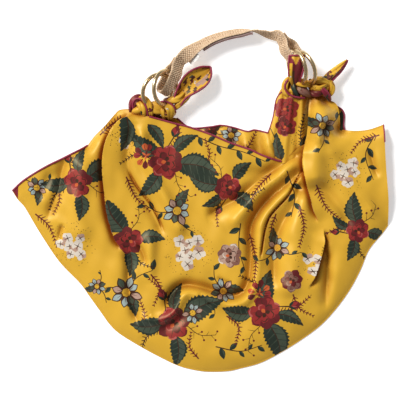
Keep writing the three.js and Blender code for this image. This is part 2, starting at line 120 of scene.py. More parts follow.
# The scarf's outlines, the same as the solid's, in stretches that follow each other
edges = {
    "fold": [
        (244, -33), (236, -44), (219, -65), (208, -91), (194, -117), (175, -143), (155, -164), (129, -183),
        (103, -199), (77, -212), (51, -219), (38, -222), (19, -223), (0, -222), (-26, -216), (-52, -204),
        (-78, -190), (-104, -174), (-117, -162), (-130, -144), (-143, -126), (-156, -108), (-182, -81),
        (-202, -52), (-215, -31), (-228, -9), (-237, 1), (-244, 12)],
    "leftWing": [(-244, 12), (-228, 26), (-202, 42), (-182, 52), (-156, 65), (-146, 71)],
    "leftShoulder": [(-146, 71), (-137, 83), (-124, 96), (-111, 111), (-104, 117), (-89, 118), (-78, 118)],
    "frontHem": [
        (-66, 108), (-51, 104), (-33, 99), (-13, 94), (13, 85), (39, 74), (65, 65), (80, 58), (97, 52), (105, 50)],
    "gather": [(105, 50), (117, 59), (127, 68), (136, 76), (139, 92), (140, 110), (141, 132)],
    "frontNeck": [(154, 140), (167, 130), (175, 126), (179, 119), (181, 105), (182, 92)],
    "rightWing": [(182, 92), (195, 90), (208, 90), (221, 92), (238, 98)],
    "rightSide": [(238, 98), (239, 75), (240, 52), (242, 26), (244, 0), (244, -33)],
    "backLeft": [(-244, 12), (-221, 20), (-182, 42), (-143, 66), (-117, 90), (-91, 108), (-65, 112)],
    "backHem": [
        (-30, 106), (-13, 94), (13, 95), (27, 97), (44, 94), (61, 89), (71, 91), (88, 87), (91, 95), (95, 109),
        (99, 131), (108, 143)],
    "backNeck": [(138, 136), (156, 130), (179, 121), (187, 112), (187, 94), (196, 84), (236, 90)],
    "backSide": [(236, 90), (239, 52), (243, 0), (244, -33)],
    "neck": [
        (85, 48), (88, 87), (91, 95), (95, 109), (99, 131), (109, 147), (136, 147), (141, 132), (141, 92),
        (138, 62), (112, 48), (85, 48)],
}

# Folds, as kind, rise, width, how sharp, and path: a lap is high on one side of its line and turns under, and a
# slot is a narrow crease
foldTable = [
    ("lap", -6, 13, 0, [
        (-85, 110), (-104, 98), (-115, 82), (-121, 60), (-122, 38), (-120, 17), (-117, -11), (-110, -39), (-99, -66)]),
    ("lap", -5, 12, 0, [(139, 80), (138, 65), (137, 47), (141, 25), (147, 3), (152, -16), (156, -30)]),
    ("lap", 5.5, 12, 0, [(158, -36), (157, -52), (151, -77), (144, -99), (138, -115)]),
    ("slot", 5, 1.8, 0, [
        (-109, 98), (-121, 82), (-127, 60), (-128, 38), (-126, 17), (-123, -11), (-116, -39), (-105, -64)]),
    ("slot", 4, 1.8, 0, [(133, 66), (131, 47), (135, 25), (141, 3), (146, -16)]),
    ("trough", 8, 8, 0.3, [
        (136, 44), (115, 23), (95, 6), (79, -11), (68, -29), (65, -47), (67, -65), (65, -91), (61, -110),
        (52, -122), (39, -125), (24, -121), (10, -116), (-4, -112), (-19, -110), (-30, -114), (-39, -125),
        (-42, -138), (-41, -148)]),
    ("ridge", 5.5, 8, 0.12, [
        (132, 39), (114, 16), (96, -3), (84, -17), (77, -34), (76, -52), (74, -70), (72, -90), (69, -109),
        (59, -129), (41, -135), (26, -130), (10, -125), (-4, -121), (-16, -120), (-24, -127), (-32, -142),
        (-41, -152), (-55, -157), (-68, -155), (-77, -143)]),
    ("slot", 5, 1.5, 0, [
        (134, 42), (123, 22), (114, 6), (102, -7), (90, -21), (84, -36), (81, -52), (79, -68), (77, -81)]),
    ("trough", 6, 9, 0.3, [(132, 31), (126, 5), (118, -12), (108, -27), (99, -49), (96, -77), (95, -101), (93, -118)]),
    ("ridge", 5, 15, 0, [(134, 18), (126, -26), (121, -75), (117, -130)]),
    ("trough", 6.5, 9, 0.4, [
        (135, 65), (118, 53), (101, 42), (78, 26), (62, 13), (51, 3), (33, -6), (17, -17), (4, -21)]),
    ("ridge", 5, 9, 0, [(130, 56), (108, 39), (83, 18), (65, 0), (49, -21), (36, -42)]),
    ("slot", 4, 1.6, 0, [(-95, 43), (-89, 29), (-79, 13), (-65, -4), (-55, -22), (-46, -44)]),
    ("ridge", 4.5, 8, 0, [(-78, 101), (-72, 68), (-60, 32), (-42, -3), (-29, -31), (-21, -52)]),
    ("trough", 3.5, 7, 0.2, [(-86, 104), (-94, 65), (-94, 42), (-84, 16), (-67, -8), (-56, -29), (-47, -52)]),
    ("trough", 5.5, 8, 0.3, [(-171, 62), (-180, 36), (-184, 13), (-193, -10), (-203, -31)]),
    ("ridge", 4, 13, 0, [(-149, 62), (-154, 20), (-159, -16), (-151, -57)]),
    ("trough", 3.5, 4, 0.3, [(-178, -29), (-181, -40), (-185, -55)]),
    ("trough", 3, 7, 0, [(-190, 42), (-201, 18), (-214, -5)]),
    ("ridge", 4, 10, 0.25, [(162, 77), (175, 50), (189, 28), (204, 10), (219, -6), (226, -29)]),
    ("trough", 3.5, 5, 0.3, [(219, 68), (223, 52), (231, 26)]),
    ("trough", 3, 8, 0, [(148, 31), (169, 5), (186, -16), (197, -42)]),
    ("trough", 6.5, 8, 0.4, [(163, -57), (165, -90), (164, -114), (163, -151)]),
    ("trough", 5, 6.5, 0.4, [(-100, -57), (-94, -81), (-93, -116), (-86, -144), (-80, -165)]),
    ("trough", 3.5, 4.5, 0.4, [(-84, -53), (-74, -69), (-69, -87)]),
    ("ridge", 4, 8, 0, [(-63, -36), (-65, -81), (-65, -110)]),
    ("trough", 3, 8, 0, [(-16, -142), (-35, -159), (-60, -165)]),
    ("trough", 2, 3, 0.5, [(-3, -118), (7, -130), (18, -139)]),
    ("trough", 2, 3, 0.5, [(20, -99), (31, -105), (43, -110)]),
    ("trough", 2, 3.5, 0.5, [(-81, -185), (-73, -178), (-64, -173)]),
    ("ridge", 8, 15, 0, [(156, 128), (152, 65), (147, 10)]),
    ("trough", 3, 9, 0, [(108, 46), (80, 36), (32, 32)]),
    ("trough", 3, 6, 0.5, [(152, 130), (163, 125), (174, 113)]),
    ("ridge", 4.5, 5, 0.2, [(166, 114), (156, 99), (153, 83), (158, 68)]),
    ("trough", 4.5, 4, 0.5, [(174, 107), (162, 96), (161, 86), (169, 75)]),
]
drape = {
    "crown": 16, "roll": 20, "gap": 4.5, "lip": 0.6, "thick": 0.6,
    "relief": 1.45, "fade": 20,  # how strong the folds are, and how long their ends
    "lapRoll": 8.5,  # how far from its line a lap turns under
    "turn": 9, "turnWidth": 9,  # how far a soft edge turns down
    "sink": 1.3, "sinkFrom": 6, "look": 3,  # how far the coarse inner face hangs, and how far round it looks
    "frontLifts": [(-76, 118, 4, 40), (150, 134, 4, 40)],  # x, y, rise and width
    "backLifts": [(-42, 118, 14, 22), (122, 140, 15, 30)],
    # height, wave length, direction and phase of the cloth's shallow waves
    "ripples": [(0.5, 47, 20, 0.4), (0.45, 38, 75, 2.1), (0.35, 61, 130, 1.3), (0.3, 27, 160, 3.9), (0.2, 19, 48, 5.2)],
    "pleats": 11.5, "fan": (30, 360), "spread": 0.19, "clear": 2.4,  # the back panel's pleats
}
foldColumns = ("kind", "rise", "width", "sharp", "path")
folds = [dict(zip(foldColumns, row), line=curveThrough(row[4], 3.5)) for row in foldTable]
foldLine = curveThrough(edges["fold"], 5)
turnedEdges = [curveThrough(edges[name], 5) for name in ("leftShoulder", "rightWing", "frontNeck")]
turnedEdges.append(curveThrough(edges["gather"][3:], 5))


def foldRelief(x, y):
    shiftX, shiftY, z = np.zeros(x.shape), np.zeros(x.shape), np.zeros(x.shape)
    for fold in folds:
        line, rise, width, sharp = fold["line"], fold["rise"], fold["width"], fold["sharp"]
        low, high = line.min(axis=0) - 4 * width - 9, line.max(axis=0) + 4 * width + 9
        near = (x > low[0]) & (x < high[0]) & (y > low[1]) & (y < high[1])
        if not near.any():
            continue
        distance, side, along, normalX, normalY = nearLine(line, x[near], y[near])
        length = np.linalg.norm(np.diff(line, axis=0), axis=1).sum()
        ends = min(0.3 * length, drape["fade"])
        fade = smooth(along * length / ends) * smooth((1 - along) * length / ends)
        if fold["kind"] == "lap":
            towards = math.copysign(1, rise)
            s = side * distance * towards  # positive on the low side
            q = s / drape["lapRoll"]
            over = drape["lapRoll"] * fade * (0.55 * np.exp(-(q / 0.45) ** 2) - 0.9 * np.exp(-((q - 0.6) / 0.28) ** 2))
            shiftX[near] += over * normalX * towards
            shiftY[near] += over * normalY * towards
            fall = np.where(s > 0, np.exp(-np.maximum(0, q - 0.8) * 3.0), np.exp(-np.abs(s) / width))
            z[near] += abs(rise) * fade * fall * (1 - 2 * smooth((q - 0.1) / 0.5))
        elif fold["kind"] == "slot":
            z[near] -= rise * fade * np.exp(-(distance / width) ** 2)
        else:
            up = rise if fold["kind"] == "ridge" else -rise
            shape = (1 - sharp) * np.exp(-(distance / width) ** 2) + sharp * np.exp(-distance / (0.6 * width))
            z[near] += up * drape["relief"] * fade * smooth((4 * width - distance) / width) * shape
    return shiftX, shiftY, z


def liftHeight(lifts, x, y):
    return sum(rise * np.exp(-((x - ax) ** 2 + (y - ay) ** 2) / width ** 2) for ax, ay, rise, width in lifts)


def rippleHeight(x, y):
    z = np.zeros(x.shape)
    for height, wave, turn, phase in drape["ripples"]:
        a = math.radians(turn)
        z += height * np.sin(2 * math.pi * (x * math.cos(a) + y * math.sin(a)) / wave + phase)
    return z


def layFront(x, y):
    distance, side = nearLine(foldLine, x, y)[:2]
    inside = np.maximum(0, -side * distance - drape["lip"])
    shiftX, shiftY, relief = foldRelief(x, y)
    rising = 1 - np.exp(-inside / drape["roll"])
    away = smooth(inside / 30)
    z = 1 + drape["crown"] * rising + (relief + rippleHeight(x, y)) * away + liftHeight(drape["frontLifts"], x, y)
    z = np.maximum(z, 1 + (drape["gap"] - 1) * smooth(inside / 25))
    for edge in turnedEdges:
        z -= drape["turn"] * np.exp(-(nearLine(edge, x, y)[0] / drape["turnWidth"]) ** 2)
    return np.stack([x + shiftX * away, y + shiftY * away, z], axis=-1)


def layBack(x, y):
    # the lower panel is drawn together towards its knots, in pleats that fill the hollow under the front
    roof = layFront(x, y)[..., 2] - drape["clear"]
    fanX, fanY = drape["fan"]
    turn = np.degrees(np.arctan2(x - fanX, fanY - y))
    wave = 0.5 + 0.5 * np.sin(2 * math.pi * drape["spread"] * turn + 0.8 * np.sin(0.03 * y) + 0.5 * np.sin(0.05 * x))
    distance = nearLine(foldLine, x, y)[0]
    height = drape["pleats"] * wave * smooth((distance - 8) / 20) * smooth((100 - y) / 30)
    height = np.minimum(height, np.maximum(0, roof - 0.5))
    z = 0.5 + liftHeight(drape["backLifts"], x, y) + height
    z += smooth((y - 40) / 50) * np.maximum(0, rippleHeight(x, y) + 0.5)
    return np.stack([x, y, z], axis=-1)


def layNeck(x, y):
    # the gathered corner of the back panel that runs up to its knot, its inner face showing
    up = smooth((y - 45) / 95)
    s = (x - (112 + 8 * up)) / (27 - 11 * up)  # across the neck, from -1 to 1
    z = 5 + 9 * up + 7 * (1 - s ** 2)
    z += (1.2 + 0.8 * up) * np.cos(s * 7.5 + 0.8) + 0.6 * np.cos(s * 15 + 2)
    return np.stack([x, y, np.maximum(z, 2.5)], axis=-1)


# Inks, in linear colour; the last number tells ink from ground
inks = {
    "ground": (0.75, 0.42, 0.035, 0.0), "deepGreen": (0.017, 0.034, 0.028, 1.0), "greyGreen": (0.062, 0.09, 0.064, 1.0),
    "burgundy": (0.135, 0.012, 0.02, 1.0), "crimson": (0.31, 0.026, 0.03, 1.0), "rosePink": (0.46, 0.11, 0.1, 1.0),
    "coral": (0.6, 0.12, 0.035, 1.0), "mauve": (0.24, 0.11, 0.085, 1.0), "paleMauve": (0.48, 0.31, 0.24, 1.0),
    "cream": (0.74, 0.66, 0.56, 1.0), "paleBlue": (0.36, 0.45, 0.43, 1.0), "darkInk": (0.05, 0.016, 0.012, 1.0),
    "hem": (0.21, 0.012, 0.036, 1.0),
}

# The print: each mark is a shape of one ink, later marks lie over earlier ones, and a zone ends its marks
sheetPrint = {"marks": [], "zone": None}


def turned(points, x, y, angle, size=1.0):
    c, s = math.cos(math.radians(angle)), math.sin(math.radians(angle))
    return [(x + size * (px * c - py * s), y + size * (px * s + py * c)) for px, py in points]


def stamp(ink, points, x=0, y=0, angle=0):
    sheetPrint["marks"].append({"ink": ink, "points": turned(points, x, y, angle), "zone": sheetPrint["zone"]})


def petal(ink, length, width, x, y, angle, fullest=0.8, wave=0.0, steps=7):
    upper = []
    for i in range(steps + 1):
        t = i / steps
        upper.append((length * i / steps, width / 2 * math.sin(math.pi * t ** fullest) * (1 + wave * math.sin(9 * t))))
    stamp(ink, upper + [(px, -py * 0.9) for px, py in reversed(upper[1:-1])], x, y, angle)


def strokeShape(points, width, thin=0.35):
    line = curveThrough(points, 2.6)
    across = leftOf(line)
    taper = (width / 2) * (1 - (1 - thin) * np.linspace(0, 1, len(line)))[:, None]
    return [tuple(p) for p in line + across * taper] + [tuple(p) for p in (line - across * taper)[::-1]]


def stroke(ink, points, width, x=0, y=0, angle=0, thin=0.35, size=1.0):
    stamp(ink, strokeShape([(size * px, size * py) for px, py in points], size * width, thin), x, y, angle)


def disc(ink, radius, sides, x, y):
    turns = np.linspace(0, 2 * math.pi, sides + 1)[:-1]
    stamp(ink, [(radius * math.cos(t), radius * math.sin(t)) for t in turns], x, y)


def around(x, y, reach, angle):
    return x + reach * math.cos(math.radians(angle)), y + reach * math.sin(math.radians(angle))


def serratedLeaf(x, y, angle, length, width, veins=5):
    teeth = max(5, int(length / 4.5))

    def press(ink, points):
        bent = [(px, py + 0.1 * length * math.sin(math.pi * px / length)) for px, py in points]
        stamp(ink, bent, x, y, angle)

    def half(t):
        return math.sin(math.pi * t ** 0.72)

    upper = []
    for i in range(2 * teeth + 1):
        t = i / (2 * teeth)
        upper.append((length * (t + (0.02 if i % 2 else 0)), width / 2 * half(t) * (1.0 if i % 2 else 0.84)))
    press("deepGreen", upper + [(px, -py) for px, py in reversed(upper[1:-1])])
    light = [(length * t, width * 0.36 * half(t)) for t in np.linspace(0.1, 0.9, 7)]
    press("greyGreen", light + [(length * t, 0.8) for t in np.linspace(0.9, 0.1, 4)])
    for i in range(1, veins + 1):
        t = 0.9 * i / (veins + 1)
        for sign, ink in ((1, "deepGreen"), (-1, "greyGreen")):
            press(ink, strokeShape([(length * t, 0), (length * (t + 0.1), sign * (width * 0.38 * half(t)))], 1.1))
    press("darkInk", strokeShape([(0, 0), (length * 0.5, 0.1), (length, 0)], 1.4))


def bloom(x, y, size, turn=0, tones=("burgundy", "crimson", "rosePink")):
    dark, middle, light = tones
    for i in range(7):
        a = turn + i * 360 / 7 + random.uniform(-10, 10)
        petal(middle if i % 3 else dark, size * random.uniform(0.88, 1.08), size * 0.82, x, y, a, 1.35, 0.12)
        edge = [(0.72, 0.3), (0.9, 0.1), (0.84, -0.18)]
        stroke(light if i % 3 == 1 else dark, edge, 0.12, x, y, a, size=size)
        stroke("darkInk", [(0.3, 0), (0.8, random.uniform(-0.1, 0.1))], 0.05, x, y, a, size=size)
    for i in range(5):
        a = turn + 20 + i * 72 + random.uniform(-10, 10)
        petal(dark if i % 2 else middle, size * 0.62, size * 0.5, x, y, a, 1.3)
        edge = [(0.3, 0.2), (0.52, 0.06), (0.46, -0.14)]
        stroke(light if i == 2 else "darkInk", edge, 0.08, x, y, a, size=size)
    for i in range(3):
        petal("coral" if i == 1 else "darkInk", size * 0.3, size * 0.24, x, y, turn + 50 + i * 120, 1.1)


def ruffledBloom(x, y, size, turn=0):
    # a looser bloom with the ground showing between its petals
    for i in range(9):
        a = turn + i * 40 + random.uniform(-9, 9)
        cx, cy = around(x, y, size * 0.34, a)
        ink = ("crimson", "burgundy", "coral")[(i * 2) % 3]
        petal(ink, size * random.uniform(0.55, 0.75), size * 0.5, cx, cy, a, 1.3, 0.15)
        stroke("darkInk", [(0, 0), (0.5, 0.05)], 0.06, cx, cy, a, size=size)
    for i in range(6):
        petal("coral" if i % 2 else "burgundy", size * 0.4, size * 0.16, x, y, turn + i * 60 + 20)


def daisy(x, y, size, turn=0):
    for i in range(8):
        a = turn + i * 45 + random.uniform(-7, 7)
        length = size * random.uniform(0.8, 1.1)
        petal("darkInk", length * 1.1, size * 0.62, x, y, a, 1.3)
        cx, cy = around(x, y, 0.3 * length, a)
        ink = ("paleBlue", "paleBlue", "greyGreen", "paleMauve")[i % 4]
        petal(ink, length * 0.72, size * 0.42, cx, cy, a, 1.2)
        stroke("darkInk", [(0, 0), (length * 0.4, 0)], 0.9, cx, cy, a + 6)
    disc("ground", size * 0.3, 8, x, y)
    dust(x, y, size * 0.27, 10, 0.55)


def dust(x, y, spread, count, dot=0.65):
    for _ in range(count):
        a, r = random.uniform(0, 2 * math.pi), spread * math.sqrt(random.uniform(0.02, 1))
        d = dot * random.uniform(0.7, 1.25)
        stamp("darkInk", [(d, 0), (-d * 0.6, d * 0.9), (-d * 0.6, -d * 0.9)], x + r * math.cos(a), y + r * math.sin(a))


def blossoms(x, y, spread, count, dots=5):
    dust(x, y, spread * 1.4, int(spread * dots))
    for i in range(count):
        a, r = 2.4 * i + x, spread * 0.8 * math.sqrt((i + 0.3) / count)
        bx, by = x + r * math.cos(a), y + r * math.sin(a)
        size = spread * random.uniform(0.3, 0.42)
        for k in range(5):
            ink = "paleMauve" if (k + i) % 4 == 0 else "cream"
            petal(ink, size * random.uniform(0.8, 1.1), size * 0.95, bx, by, 72 * k + 30 * i, 1.5, 0, 5)
        for k in range(4):
            stroke("darkInk", [(0, 0), (size * 0.55, size * 0.12)], 1.1, bx, by, 90 * k + 50 * i)


def stem(points, step, ink, width, thin=0.35):
    # a drawn stem; gives each point along it with its number and the stem's direction there
    line = curveThrough(points, step)
    stroke(ink, points, width, thin=thin)
    return [(i, *line[i], math.degrees(math.atan2(*(line[i] - line[i - 1])[::-1]))) for i in range(1, len(line))]


def sprig(points, barb=5.5, ink="burgundy"):
    joints = stem(points, 4.6, ink, 1.9)
    for i, x, y, a in joints:
        a += random.uniform(-8, 8)
        length = barb * (1.15 - 0.7 * i / (len(joints) + 1)) * random.uniform(0.75, 1.15)
        for sign in (1, -1):
            stroke(ink, [(0, 0), (length * 0.6, sign * length * 0.8)], 1.7, x, y, a, 0.5)


def twig(points, leaf=13):
    for i, x, y, a in stem(points, 6.5, "darkInk", 1.5, 0.6)[::2]:
        a += (1 if (i // 2) % 2 else -1) * random.uniform(35, 60)
        length = leaf * random.uniform(0.7, 1.25)
        petal("deepGreen", length, length * 0.52, x, y, a, 0.9, 0, 5)
        side = [(length * t, length * 0.18 * math.sin(math.pi * t)) for t in np.linspace(0.15, 0.85, 4)]
        stamp("greyGreen", side, x, y, a)


def berries(points):
    # a thin branched stem with small dark red beads
    for i, x, y, a in stem(points, 6, "darkInk", 1.0, 0.7):
        a += 55 if i % 2 else -55
        reach = random.uniform(5, 10)
        stroke("darkInk", [(0, 0), (reach, 0.6)], 0.8, x, y, a)
        if i % 3 != 2:
            disc("burgundy", 1.5, 6, *turned([(reach, 0.6)], x, y, a)[0])


def bud(x, y, angle, size):
    petal("burgundy", size * 1.3, size * 0.95, x, y, angle, 0.75)
    petal("crimson", size * 1.05, size * 0.5, x, y, angle + 14, 0.75)
    stroke("rosePink", [(0.3, -0.1), (0.75, -0.16)], 0.12, x, y, angle, size=size)
    for sign in (1, -1):
        petal("deepGreen", size * 0.75, size * 0.3, x, y, angle + sign * 38, 0.8, 0, 5)
    stroke("darkInk", [(0, 0), (-size * 1.1, size * 0.25)], 1.8, x, y, angle, 0.6)


def spray(x, y, turn, size=1.0, kind=0):
    # a bouquet: one or two blooms with their leaves, sprigs and a bud
    def at(*points):
        return turned(points, x, y, turn, size)

    sprig(at((12, 10), (28, 30), (34, 56)), 5.5 * size)
    sprig(at((-14, 12), (-34, 22), (-56, 18)), 5.5 * size, "darkInk")
    berries(at((6, -16), (4, -36), (14, -54)))
    for spot, lean, length, width, veins in (
            ((10, -8), -34, 58, 34, 5), ((-6, 12), 122, 44, 25, 4), ((-12, -10), 208, 42, 24, 4),
            ((12, 8), 14, 40, 18, 3)):
        serratedLeaf(*at(spot)[0], turn + lean, length * size, width * size, veins)
    if kind % 2:
        ruffledBloom(*at((-22, 16))[0], 17 * size, turn + 40)
    bloom(x, y, 23 * size, turn)
    bud(*at((20, 26))[0], turn + 50, 13 * size)
    if kind == 2:
        daisy(*at((24, -14))[0], 13 * size, turn)


def smallSpray(x, y, turn, size=1.0):
    twig(turned([(0, 0), (22, 10), (44, 8)], x, y, turn, size), 13 * size)
    twig(turned([(0, 0), (-14, 16), (-34, 20)], x, y, turn, size), 11 * size)
    serratedLeaf(*turned([(0, -4)], x, y, turn, size)[0], turn - 100, 30 * size, 17 * size, 3)
    daisy(x, y, 19 * size, turn)


def backBunch(i, x, y):
    serratedLeaf(x + 8, y - 6, 77 * i - 30, 44, 25, 0)
    serratedLeaf(x - 8, y + 6, 77 * i + 150, 38, 22, 0)
    bloom(x, y, 19, 40 * i)


# Each row is a motif, the zone that ends it, and its values, in the order in which they are printed
motifs = {
    "front": [
        (twig, "main", [(-8, 84), (24, 70), (56, 62), (84, 50)]),
        (twig, "main", [(52, -30), (50, -62), (58, -92)]),
        (twig, "main", [(112, 38), (122, 6), (118, -22)]),
        (twig, "main", [(20, -190), (52, -196), (80, -188)]),
        (twig, "right", [(226, 84), (214, 58), (224, 26)]),
        (sprig, "main", [(64, -44), (72, -76), (70, -104)]),
        (sprig, "right", [(232, 84), (208, 76), (196, 62)]),
        (sprig, "main", [(128, -8), (134, -34), (128, -60)]),
        (sprig, None, [(120, -122), (128, -140), (146, -150)]),
        (sprig, "right", [(150, 20), (162, -8), (180, -24)]),
        (sprig, "left", [(-214, -18), (-196, -34), (-186, -60)]),
        (sprig, "main", [(-64, -96), (-52, -114), (-60, -136)]),
        (sprig, "main", [(92, 34), (72, 12), (62, -14)]),
        (sprig, "left", [(-130, 84), (-116, 98), (-104, 108)]),
        (sprig, "main", [(-2, -206), (-14, -190), (-12, -172)]),
        (sprig, "main", [(-80, -172), (-72, -150), (-78, -130)]),
        (sprig, "main", [(-96, 30), (-84, 4), (-66, -14)]),
        (sprig, "main", [(0, 40), (12, 58), (6, 78)]),
        (sprig, "main", [(34, -150), (50, -164), (46, -186)]),
        (sprig, "left", [(-196, 30), (-182, 4), (-190, -18)]),
        (sprig, "main", [(98, -18), (92, -40), (104, -58)]),
        (blossoms, "main", -16, -66, 24, 8), (blossoms, "main", 150, -84, 20, 6),
        (blossoms, "right", 190, 36, 21, 7), (blossoms, "left", -166, -58, 22, 7), (blossoms, "main", -98, 76, 13, 3),
        (smallSpray, None, -96, -120, 30, 1.0), (smallSpray, "main", 100, -62, 200, 0.8),
        (smallSpray, "right", 158, 96, 250, 0.8), (smallSpray, "left", -212, 16, 10, 0.7),
        (smallSpray, "main", -30, -14, 160, 0.95), (smallSpray, "main", 30, -118, 100, 0.8),
        (smallSpray, "left", -134, -112, 290, 0.55),
        (spray, "main", -44, 50, 20, 1.0, 1), (spray, "main", 36, 16, 196, 0.78),
        (spray, "main", -34, -160, 60, 1.0, 2), (spray, "main", 84, -146, 322, 0.98, 1),
        (spray, "right", 204, -40, 130, 0.72), (spray, "left", -158, 22, 60, 0.86),
        (spray, "main", -92, -52, 150, 0.82),
        (serratedLeaf, "main", -68, 98, -58, 38, 17, 3), (serratedLeaf, "main", -94, 106, -102, 44, 22, 3),
        (bloom, "main", 38, -72, 17, 10, ("mauve", "paleMauve", "cream")),
        (bloom, "main", 118, -104, 15, 70, ("burgundy", "mauve", "paleMauve")),
        (stamp, "left", "hem", [(-245, 13), (-236, 17.5), (-237, 0.5)]),  # the dark red tip of the left wing
    ],
    "back": [
        (backBunch, None, 0, -140, -10), (backBunch, None, 1, -50, -120), (backBunch, None, 2, 60, -30),
        (backBunch, None, 3, 60, -160), (backBunch, None, 4, 160, -70),
        (blossoms, None, -110, -80, 17, 4, 2), (blossoms, None, 120, 20, 17, 4, 2),
        (blossoms, None, -20, -10, 17, 4, 2), (sprig, None, [(52, 58), (64, 72), (72, 88)]),
        (twig, None, [(-20, 96), (6, 92), (30, 95)], 10),
        (bloom, None, 14, 92, 11, 0, ("darkInk", "burgundy", "crimson")),
        (smallSpray, None, 40, 84, 150, 0.7), (serratedLeaf, None, 186, 118, -94, 40, 20, 0),
    ],
    "neck": [
        (twig, None, [(92, 50), (98, 72), (92, 92)], 9), (serratedLeaf, None, 106, 52, 100, 34, 17, 3),
        (bloom, None, 112, 118, 17, 15, ("crimson", "crimson", "rosePink")),
        (bloom, None, 111, 96, 15, 60, ("crimson", "burgundy", "rosePink")), (dust, None, 130, 84, 16, 60),
        (sprig, None, [(134, 66), (130, 84), (134, 110)], 5, "darkInk"), (serratedLeaf, None, 136, 60, 80, 28, 14, 2),
    ],
}


def printOf(panel):
    sheetPrint["marks"] = []
    for draw, zone, *values in motifs[panel]:
        sheetPrint["zone"] = zone
        draw(*values)
    return sheetPrint["marks"]


# Building a piece's mesh from parts
materialOf = {"print": 0, "hem": 1, "gathered": 2}


def emptyMesh():
    return {"points": [], "faces": [], "inks": [], "slots": [], "normals": [], "cloth": [], "count": 0}


def addPart(target, points, faces, normals, cloth, inkNames, slot=0):
    start = target["count"]
    target["points"].append(points)
    target["faces"].extend(tuple(start + i for i in face) for face in faces)
    target["normals"].append(normals)
    target["cloth"].append(cloth)
    target["inks"].extend(inkNames)
    target["slots"].extend([slot] * len(faces))
    target["count"] = start + len(points)


def insideOutline(outline, x, y):
    odd = np.zeros(x.shape, bool)
    for (ax, ay), (bx, by) in zip(outline, np.roll(outline, -1, axis=0)):
        if by != ay:
            odd ^= ((ay > y) != (by > y)) & (x < (bx - ax) * (y - ay) / (by - ay) + ax)
    return odd


def joinStretches(names, step):
    points = np.vstack([curveThrough(edges[name], step) for name in names])
    return points[np.linalg.norm(points - np.roll(points, -1, axis=0), axis=1) > 0.2]


# Where the rows of points beside a fold's line lie, in parts of its width
crossRows = {
    "lap": (-1, -0.7, -0.4, -0.2, 0, 0.12, 0.24, 0.34, 0.44, 0.54, 0.64, 0.74, 0.86, 1.0, 1.2, 1.45),
    "slot": (-2, -1, -0.4, 0, 0.4, 1, 2),
    "trough": (-0.9, -0.5, -0.2, 0, 0.2, 0.5, 0.9), "ridge": (-0.8, -0.3, 0, 0.3, 0.8),
    "rim": (2.2, 4.8, 8, 11.6),  # inside the folded edge, in millimetres
}


def rimRows():
    line = curveThrough(edges["fold"], 3.8)
    return np.vstack([line - leftOf(line) * reach for reach in crossRows["rim"]])


def foldRows(chosen, step=3.4):
    # rows of points along the laps, slots and sharp folds, close enough to bend the cloth
    rows = []
    for fold in chosen:
        if fold["sharp"] or fold["kind"] in ("lap", "slot"):
            reach = drape["lapRoll"] if fold["kind"] == "lap" else fold["width"]
            line = curveThrough(fold["path"], step)
            normal = leftOf(line) * math.copysign(1, fold["rise"])
            rows += [line + normal * q * reach for q in crossRows[fold["kind"]]]
    rows = np.vstack(rows)
    first = np.unique(np.round(rows / 0.8), axis=0, return_index=True)[1]
    return rows[np.sort(first)]


def hexGrid(outline, cell, rows):
    low, high = outline.min(axis=0), outline.max(axis=0)
    gx, gy = np.meshgrid(np.arange(low[0], high[0], cell), np.arange(low[1], high[1], cell * 0.87))
    gx = gx + (np.arange(gx.shape[0]) % 2)[:, None] * cell / 2
    grid = np.stack([gx.ravel(), gy.ravel()], axis=1)
    if len(rows):
        distance = np.full(len(grid), np.inf)
        for i in range(0, len(rows), 400):
            part = rows[i:i + 400]
            apart = np.hypot(grid[:, None, 0] - part[None, :, 0], grid[:, None, 1] - part[None, :, 1])
            distance = np.minimum(distance, apart.min(axis=1))
        grid = np.vstack([grid[distance > cell * 0.6], rows])
    edgeDistance = nearLine(np.vstack([outline, outline[:1]]), grid[:, 0], grid[:, 1])[0]
    return grid[insideOutline(outline, grid[:, 0], grid[:, 1]) & (edgeDistance > cell * 0.4)]


def cutPlan(outline, grid, marks=(), zones=()):
    # triangles over the plan, cut along the marks' edges, each with the ink of the last mark that covers it
    plan, plannedEdges = [Vector(p) for p in grid], []
    for shape in [outline, *[mark["points"] for mark in marks]]:
        first, last = len(plan), len(plan) + len(shape) - 1
        plannedEdges += [(i, i + 1) for i in range(first, last)] + [(last, first)]
        plan.extend(Vector(p) for p in shape)
    points, _, faces, _, _, _ = delaunay_2d_cdt(plan, plannedEdges, [], 0, 1e-4)
    flat = np.array([(p.x, p.y) for p in points])
    faces = np.array(faces)
    middle = flat[faces].mean(axis=1)
    kept = insideOutline(outline, middle[:, 0], middle[:, 1])
    faces, middle = faces[kept], middle[kept]
    within = {name: insideOutline(np.array(zones[name]), middle[:, 0], middle[:, 1]) for name in zones}
    inkNames = np.full(len(faces), "ground", dtype=object)
    for mark in marks:
        shape = np.array(mark["points"])
        near = ((middle > shape.min(axis=0)) & (middle < shape.max(axis=0))).all(axis=1)
        if mark["zone"] in within:
            near &= within[mark["zone"]]
        near = np.flatnonzero(near)
        inkNames[near[insideOutline(shape, middle[near, 0], middle[near, 1])]] = mark["ink"]
    used = np.unique(faces)
    order = np.zeros(len(flat), int)
    order[used] = np.arange(len(used))
    return flat[used], [tuple(face) for face in order[faces].tolist()], list(inkNames)


def rimLoop(faces):
    # the outer edge's points, in order round it
    sides = {side: True for a, b, c in faces for side in ((a, b), (b, c), (c, a))}
    after = {a: b for a, b in sides if (b, a) not in sides}
    loop = [next(iter(after))]
    while after[loop[-1]] != loop[0]:
        loop.append(after[loop[-1]])
    return loop


def sheetNormals(lay, flat):
    x, y, h = flat[:, 0], flat[:, 1], 0.3
    return unit(np.cross(lay(x + h, y) - lay(x - h, y), lay(x, y + h) - lay(x, y - h)))


